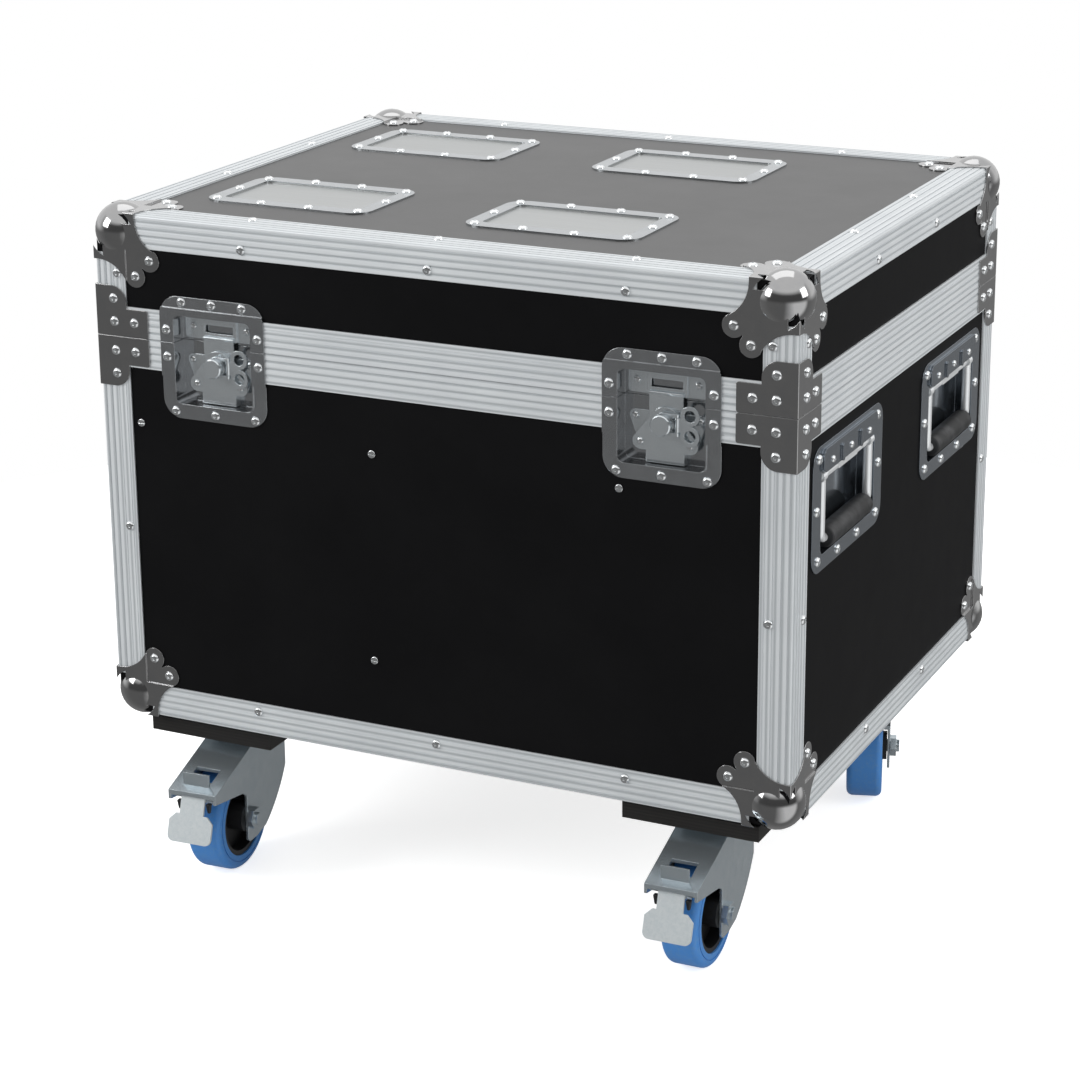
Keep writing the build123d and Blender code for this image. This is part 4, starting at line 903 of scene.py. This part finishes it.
@dataclass
class Shell:
    """The plywood box: faced walls and top, stained floor, dividers and castor boards."""

    laminate: PhenolicLaminate = field(default_factory=PhenolicLaminate)
    # The same sheet as a lit copy for the top: painted light, a lighter colour and a stronger mirror
    # than the walls' laminate, matched to how light the photographed top is
    lit_top_laminate: PhenolicLaminate = field(
        default_factory=lambda: PhenolicLaminate(
            name="phenolic_laminate_lit_top", colour="161617", worn_colour="19191a",
            specular=0.85, roughness=0.38, roughness_spread=0.02, bump=0.16,
        )
    )
    plywood: StainedPlywood = field(default_factory=StainedPlywood)

    def build(self) -> None:
        """Dress the panels."""
        face = self.laminate.build()
        for node in ("base_front_panel", "base_back_panel", "base_side_panels", "lid_wall_panels"):
            dress(node, face)
        # Painted light: the top wears a lighter, more mirroring copy of the wall laminate
        dress("lid_top_panel", self.lit_top_laminate.build())
        board = self.plywood.build()
        for node in ("base_floor", "dividers", "castor_boards"):
            dress(node, board)


@dataclass
class Edging:
    """Aluminium profiles with their plated corners, braces and rivets."""

    aluminium: ExtrudedAluminium = field(default_factory=ExtrudedAluminium)
    corner_steel: PlatedSteel = field(default_factory=PlatedSteel)
    rivet_steel: PlatedSteel = field(
        default_factory=lambda: PlatedSteel(
            name="bright_rivet_steel", colour="f0f2f3", haze_colour="e2e5e7", roughness=0.2, edge_mm=0.2
        )
    )

    def build(self) -> None:
        """Dress the edges, corners and rivets."""
        profile = self.aluminium.build()
        for node in ("base_edge_profiles", "lid_edge_profiles", "base_rim", "lid_rim"):
            dress(node, profile)
        steel = self.corner_steel.build()
        for node in ("base_ball_corners", "lid_ball_corners", "base_corner_braces", "lid_corner_braces"):
            dress(node, steel)
        bright = self.rivet_steel.build()
        for node in ("base_rivets", "lid_rivets", "panel_screws"):
            dress(node, bright)


@dataclass
class Latches:
    """The two turn latches in their dishes."""

    dish_steel: PlatedSteel = field(
        default_factory=lambda: PlatedSteel(name="plated_latch_dish", colour="bcc0c3", metallic=0.96)
    )
    bright_steel: PlatedSteel = field(
        default_factory=lambda: PlatedSteel(
            name="plated_latch_works", colour="dfe5e8", haze_colour="d0d6da", roughness=0.16,
            metallic=0.86,
        )
    )

    def build(self) -> None:
        """Dress the latch pieces."""
        dish = self.dish_steel.build()
        for node in ("base_latch_dishes", "lid_latch_dishes"):
            dress(node, dish)
        works = self.bright_steel.build()
        sides, pieces = ("left", "right"), ("knob", "wing", "hook")
        moving = [f"latch_{piece}_{side}" for piece in pieces for side in sides]
        for node in ["latch_brackets", "keepers"] + moving:
            dress(node, works)


@dataclass
class Handles:
    """The four sprung handles in their dishes."""

    dish_steel: PlatedSteel = field(
        default_factory=lambda: PlatedSteel(
            name="plated_handle_dish", colour="8d949b", haze_colour="80878f", metallic=0.94
        )
    )
    bar_steel: PlatedSteel = field(
        default_factory=lambda: PlatedSteel(
            name="bright_spring_bar", colour="f2f4f5", haze_colour="e4e7e9", roughness=0.2, metallic=0.5
        )
    )
    rubber: MouldedRubber = field(default_factory=MouldedRubber)
    places: tuple[str, ...] = ("left_back", "left_front", "right_front", "right_back")

    def build(self) -> None:
        """Dress the handle pieces."""
        dress("handle_dishes", self.dish_steel.build())
        bright = self.bar_steel.build()
        grip = self.rubber.build()
        for node in ["handle_hinge_bars"] + [f"bail_{place}" for place in self.places]:
            dress(node, bright)
        for place_name in self.places:
            dress(f"grip_{place_name}", grip)


@dataclass
class Castors:
    """The four swivel castors: zinc-plated forks, nylon centres and blue tyres."""

    zinc: ZincPlate = field(default_factory=ZincPlate)
    pad_zinc: ZincPlate = field(
        default_factory=lambda: ZincPlate(
            name="zinc_plate_pedal", colour="d8dee0", patch_colour="ccd4d7",
            patch_mm=4.0, roughness=0.45, metallic=0.4,
        )
    )
    nylon: MouldedNylon = field(default_factory=MouldedNylon)
    rubber: TyreRubber = field(default_factory=TyreRubber)
    places: tuple[str, ...] = ("front_left", "front_right", "back_right", "back_left")

    def build(self) -> None:
        """Dress the castor pieces."""
        steel = self.zinc.build()
        pad = self.pad_zinc.build()
        nylon = self.nylon.build()
        rubber = self.rubber.build()
        for node in ["castor_plates", "castor_bolts"] + [f"fork_{place}" for place in self.places]:
            dress(node, steel)
        for place_name in self.places:
            dress(f"wheel_hub_{place_name}", nylon)
            dress(f"tyre_{place_name}", rubber)
        for place_name in self.places[:2]:
            dress(f"brake_pedal_{place_name}", pad)


@dataclass
class PedalStops:
    """Small moulded stops on both sides of each brake pedal's neck."""

    nylon: MouldedNylon = field(default_factory=lambda: MouldedNylon(name="black_moulded_stop"))
    places: tuple[str, ...] = ("front_left", "front_right")
    side_mm: float = 14.7
    drop_mm: float = 8.8
    out_mm: float = 1.5
    size_mm: tuple[float, float, float] = (4.6, 5.0, 9.0)
    taper: float = 0.55
    round_mm: float = 0.7
    round_steps: int = 2

    def stop(
        self, name: str, body: str, pivot: Vector, along: Vector, side: int, material: bpy.types.Material
    ) -> None:
        """Build one stop: a rounded block that narrows towards its lower end.

        Args:
            name: the piece's name.
            body: the body that it rides on.
            pivot: the middle of the pedal's axis.
            along: the direction of that axis.
            side: -1 or 1, the end of the axis that the stop is nearer to.
            material: the stop's finish.
        """
        made = bmesh.new()
        bmesh.ops.create_cube(made, size=1.0)
        for vertex in made.verts:
            if vertex.co.z < 0:
                vertex.co.x *= self.taper
                vertex.co.y *= self.taper
        up = Vector((0, 0, 1))
        out = along.cross(up).normalized()
        if out.y > 0:
            out = -out
        centre = pivot + along * side * self.side_mm * MM + out * self.out_mm * MM
        centre.z -= self.drop_mm * MM
        turned = Matrix((along, out, up)).transposed().to_4x4()
        scaled = Matrix.Diagonal((*(Vector(self.size_mm) * MM), 1.0))
        bmesh.ops.transform(
            made, matrix=Matrix.Translation(centre) @ turned @ scaled, verts=made.verts
        )
        bmesh.ops.bevel(
            made, geom=list(made.edges), offset=self.round_mm * MM, segments=self.round_steps,
            affect="EDGES", profile=ROUND,
        )
        bmesh.ops.recalc_face_normals(made, faces=made.faces)
        piece = link_piece(name, made, material)
        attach(piece, body)
        log.info("%s rides on %s", name, body)

    def build(self) -> None:
        """Build the stops of the two pedals."""
        material = self.nylon.build()
        joints = {joint["name"]: joint for joint in frame["joints"]}
        for place_name in self.places:
            joint = joints[f"brake_swing_{place_name}"]
            for side, word in ((-1, "near"), (1, "far")):
                self.stop(
                    f"pedal_stop_{place_name}_{word}", f"brake_{place_name}",
                    Vector(joint["pos_m"]), Vector(joint["axis"]).normalized(), side, material,
                )


@dataclass
class LidFittings:
    """What the lid carries besides its edges: the wheel dishes and the hinges."""

    zinc: ZincPlate = field(default_factory=lambda: ZincPlate(name="zinc_plate_hinge"))
    dish_rim_mm: float = 1.0

    def build(self) -> None:
        """Dress the dishes and the hinges."""
        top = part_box("wheel_dishes")[1].z
        dish = BrushedDish(floor_level=top - self.dish_rim_mm * MM)
        dress("wheel_dishes", dish.build())
        hinge = self.zinc.build()
        for node in ("hinge_base_leaves", "hinge_lid_leaves"):
            dress(node, hinge)


@dataclass
class FoamLining:
    """Foam sheets that line the base's floor and the lid's top."""

    foam: ClosedCellFoam = field(default_factory=ClosedCellFoam)
    edge_round_mm: float = 3.0
    edge_steps: int = 3
    gap_mm: float = 0.5
    wall_reach_mm: float = 50.0

    def sheet(
        self, name: str, node: str, body: str, low: Vector, high: Vector, material: bpy.types.Material
    ) -> None:
        """Build one foam sheet with soft rounded edges.

        Args:
            name: the piece's name.
            node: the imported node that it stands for.
            body: the body that it rides on.
            low: lowest corner.
            high: highest corner.
            material: the foam's finish.
        """
        made = bmesh.new()
        bmesh.ops.create_cube(made, size=1.0)
        size = high - low
        middle = (high + low) / 2
        bmesh.ops.transform(
            made, matrix=Matrix.Translation(middle) @ Matrix.Diagonal((*size, 1.0)), verts=made.verts
        )
        bmesh.ops.bevel(
            made, geom=list(made.edges), offset=self.edge_round_mm * MM,
            segments=self.edge_steps, affect="EDGES", profile=ROUND,
        )
        piece = link_piece(name, made, material)
        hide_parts(node)
        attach(piece, body)
        log.info("%s rides on %s", name, body)

    def build(self) -> None:
        """Build the linings of the base and of the lid."""
        material = self.foam.build()
        low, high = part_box("base_foam")
        walls = sorted(v.co.x for v in frame["nodes"]["dividers"].data.vertices)
        gap, reach = self.gap_mm * MM, self.wall_reach_mm * MM
        first, last = walls[0], walls[-1]
        start_middle = max(x for x in walls if x < first + reach) + gap
        end_middle = min(x for x in walls if x > last - reach) - gap
        spans = ((low.x, first - gap), (start_middle, end_middle), (last + gap, high.x))
        for number, (start, end) in enumerate(spans, start=1):
            self.sheet(
                f"floor_foam_{number}", "base_foam", "base",
                Vector((start, low.y, low.z)), Vector((end, high.y, high.z)), material,
            )
        self.sheet("lid_foam_sheet", "lid_foam", "lid", *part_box("lid_foam"), material)


@dataclass(frozen=True)
class SoftBox:
    """A rectangular white lamp: where it hangs, its size in metres and its power in watts."""

    name: str
    spot: tuple[float, float, float]
    size: tuple[float, float]
    power: float
    aim: tuple[float, float, float] = (0.0, 0.0, 0.35)

    def hang(self) -> None:
        """Hang the lamp."""
        data = bpy.data.lights.new(self.name, "AREA")
        data.shape = "RECTANGLE"
        data.size, data.size_y = self.size
        data.energy = self.power
        lamp = bpy.data.objects.new(self.name, data)
        lamp.location = self.spot
        lamp.rotation_euler = (Vector(self.spot) - Vector(self.aim)).to_track_quat("Z", "Y").to_euler()
        bpy.context.scene.collection.objects.link(lamp)


@dataclass
class Studio:
    """The stage: floor, lamps, world and camera."""

    lamps: tuple[SoftBox, ...] = (
        SoftBox("top_soft_box", (-0.3, 0.6, 2.3), (1.8, 1.4), 8.0, aim=(0.0, 0.0, 0.3)),
        SoftBox("left_soft_box", (-2.2, -1.9, 1.7), (1.3, 1.3), 34.0),
        SoftBox("right_soft_box", (2.6, 0.2, 1.5), (1.2, 1.2), 18.0),
    )
    floor_colour: str = "f4f4f4"
    floor_roughness: float = 0.9
    floor_radius: float = 1.3
    floor_sides: int = 96
    floor_lift: float = 0.7
    world_strength: float = 0.75
    dark_room: float = 0.10
    floor_before: float = 0.19
    floor_behind: float = 0.27
    card: float = 1.0
    # Where each part of that room begins and ends, along a mirrored direction of length 1
    room_turn: tuple[float, float] = (-0.35, 0.25)
    card_side: tuple[float, float] = (-0.3, 0.45)
    card_front: tuple[float, float] = (0.0, 0.3)
    skirting: tuple[float, float] = (-0.16, 0.02)
    cornice: tuple[float, float] = (0.35, 0.6)
    sensor_mm: float = 36.0
    far_clip: float = 100.0
    lens_px: float = 2831.5
    frame_px: float = 1080.0
    centre_px: tuple[float, float] = (570.0, 449.1)
    azimuth: float = 25.08
    elevation: float = 17.03
    roll: float = -0.27
    distance: float = 2.644
    aim: tuple[float, float, float] = (0.0047, 0.02154, 0.3657)

    def place_camera(self) -> None:
        """Set the camera that the photograph was taken with."""
        data = bpy.data.cameras.new("photo_camera")
        data.sensor_width = self.sensor_mm
        data.lens = self.lens_px / self.frame_px * data.sensor_width
        data.shift_x = (self.frame_px / 2 - self.centre_px[0]) / self.frame_px
        data.shift_y = (self.centre_px[1] - self.frame_px / 2) / self.frame_px
        data.clip_end = self.far_clip
        turn, tilt, roll = (math.radians(x) for x in (self.azimuth, self.elevation, self.roll))
        ahead = Vector((math.sin(turn), -math.cos(turn), 0.0))
        back = ahead * math.cos(tilt) + Vector((0.0, 0.0, math.sin(tilt)))
        right = Vector((math.cos(turn), math.sin(turn), 0.0))
        up = back.cross(right)
        across = right * math.cos(roll) + up * math.sin(roll)
        above = up * math.cos(roll) - right * math.sin(roll)
        camera = bpy.data.objects.new("photo_camera", data)
        matrix = Matrix((across, above, back)).transposed().to_4x4()
        matrix.translation = Vector(self.aim) + back * self.distance
        camera.matrix_world = matrix
        bpy.context.scene.collection.objects.link(camera)
        bpy.context.scene.camera = camera

    def lay_floor(self) -> None:
        """Lay the plain pale floor."""
        made = bmesh.new()
        bmesh.ops.create_circle(
            made, cap_ends=True, segments=self.floor_sides, radius=self.floor_radius
        )
        material, surface, tree = new_material("studio_floor")
        feed(
            surface,
            {
                "Base Color": linear(self.floor_colour), "Roughness": self.floor_roughness,
                "Specular IOR Level": 0.0,
            },
        )
        path = add_node(tree, "LightPath")
        lift = add_node(
            tree, "Math", {"operation": "MULTIPLY", 1: self.floor_lift},
            {0: path.outputs["Is Camera Ray"]},
        )
        feed(surface, {"Emission Color": linear("ffffff")}, {"Emission Strength": lift.outputs[0]})
        # Mirrored rays pass through the floor, so metal shows the world's room in its place
        mirrored = add_node(tree, "BsdfTransparent")
        mixed = add_node(
            tree, "MixShader", None,
            {0: path.outputs["Is Glossy Ray"], 1: surface.outputs[0], 2: mirrored.outputs[0]},
        )
        feed(tree.nodes["Material Output"], None, {"Surface": mixed.outputs[0]})
        floor = link_piece("studio_floor", made, material)

    def mirrored_room(self, tree: bpy.types.NodeTree) -> bpy.types.NodeSocket:
        """Add the room that metal mirrors: bright behind, above and low at the right, unlit in front.

        Args:
            tree: the world's node tree.

        Returns:
            The room's brightness in each direction.
        """
        where = add_node(tree, "TexCoord").outputs["Generated"]
        turn = math.radians(self.azimuth)
        front = add_node(
            tree, "VectorMath",
            {"operation": "DOT_PRODUCT", 1: (math.sin(turn), -math.cos(turn), 0.0)}, {0: where},
        )
        height = add_node(tree, "SeparateXYZ", None, {0: where}).outputs[2]
        level, low = (
            add_node(
                tree, "MapRange",
                {
                    "From Min": self.room_turn[0], "From Max": self.room_turn[1],
                    "To Min": behind, "To Max": before,
                },
                {"Value": front.outputs["Value"]},
            ).outputs[0]
            for behind, before in ((1.0, self.dark_room), (self.floor_behind, self.floor_before))
        )
        aside = add_node(
            tree, "VectorMath",
            {"operation": "DOT_PRODUCT", 1: (math.cos(turn), math.sin(turn), 0.0)}, {0: where},
        )
        on_right = add_node(
            tree, "MapRange",
            {"From Min": self.card_side[0], "From Max": self.card_side[1], "To Max": self.card},
            {"Value": aside.outputs["Value"]},
        )
        in_front = add_node(
            tree, "MapRange",
            {"From Min": self.card_front[0], "From Max": self.card_front[1]},
            {"Value": front.outputs["Value"]},
        )
        carded = add_node(
            tree, "Math", {"operation": "MULTIPLY"}, {0: on_right.outputs[0], 1: in_front.outputs[0]}
        )
        low = add_node(tree, "Math", {"operation": "MAXIMUM"}, {0: low, 1: carded.outputs[0]}).outputs[0]
        rise = add_node(
            tree, "MapRange",
            {"From Min": self.skirting[0], "From Max": self.skirting[1]}, {"Value": height},
        )
        wall = add_node(tree, "Mix", {"data_type": "FLOAT"}, {0: rise.outputs[0], 2: low, 3: level})
        ceiling = add_node(
            tree, "MapRange",
            {"From Min": self.cornice[0], "From Max": self.cornice[1]}, {"Value": height},
        )
        return add_node(
            tree, "Math", {"operation": "MAXIMUM"}, {0: wall.outputs[0], 1: ceiling.outputs[0]}
        ).outputs[0]

    def light(self) -> None:
        """Set the world and the soft boxes."""
        world = bpy.data.worlds.new("studio_world")
        bpy.context.scene.world = world
        world.use_nodes = True
        tree = world.node_tree
        path = add_node(tree, "LightPath")
        seen = add_node(
            tree, "Mix", {"data_type": "FLOAT", 2: self.world_strength, 3: 1.0},
            {0: path.outputs["Is Camera Ray"]},
        )
        mirrored = add_node(
            tree, "Math", {"operation": "MAXIMUM"},
            {0: path.outputs["Is Glossy Ray"], 1: path.outputs["Is Transmission Ray"]},
        )
        strength = add_node(
            tree, "Mix", {"data_type": "FLOAT"},
            {0: mirrored.outputs[0], 2: seen.outputs[0], 3: self.mirrored_room(tree)},
        )
        feed(tree.nodes["Background"], {"Color": linear("ffffff")}, {"Strength": strength.outputs[0]})
        for lamp in self.lamps:
            lamp.hang()

    def build(self) -> None:
        """Set up the whole stage."""
        self.place_camera()
        self.lay_floor()
        self.light()
        bpy.context.scene.view_settings.view_transform = "Standard"


def main() -> None:
    """Build the stage and dress every sub-assembly in order."""
    logging.basicConfig(level=logging.INFO, format="%(name)s: %(message)s")
    for part in (
        Studio(), Shell(), Edging(), Latches(), Handles(), LidFittings(), Castors(), PedalStops(),
        FoamLining(),
    ):
        part.build()
        log.info("%s done", type(part).__name__)


if __name__ == "__main__":
    main()
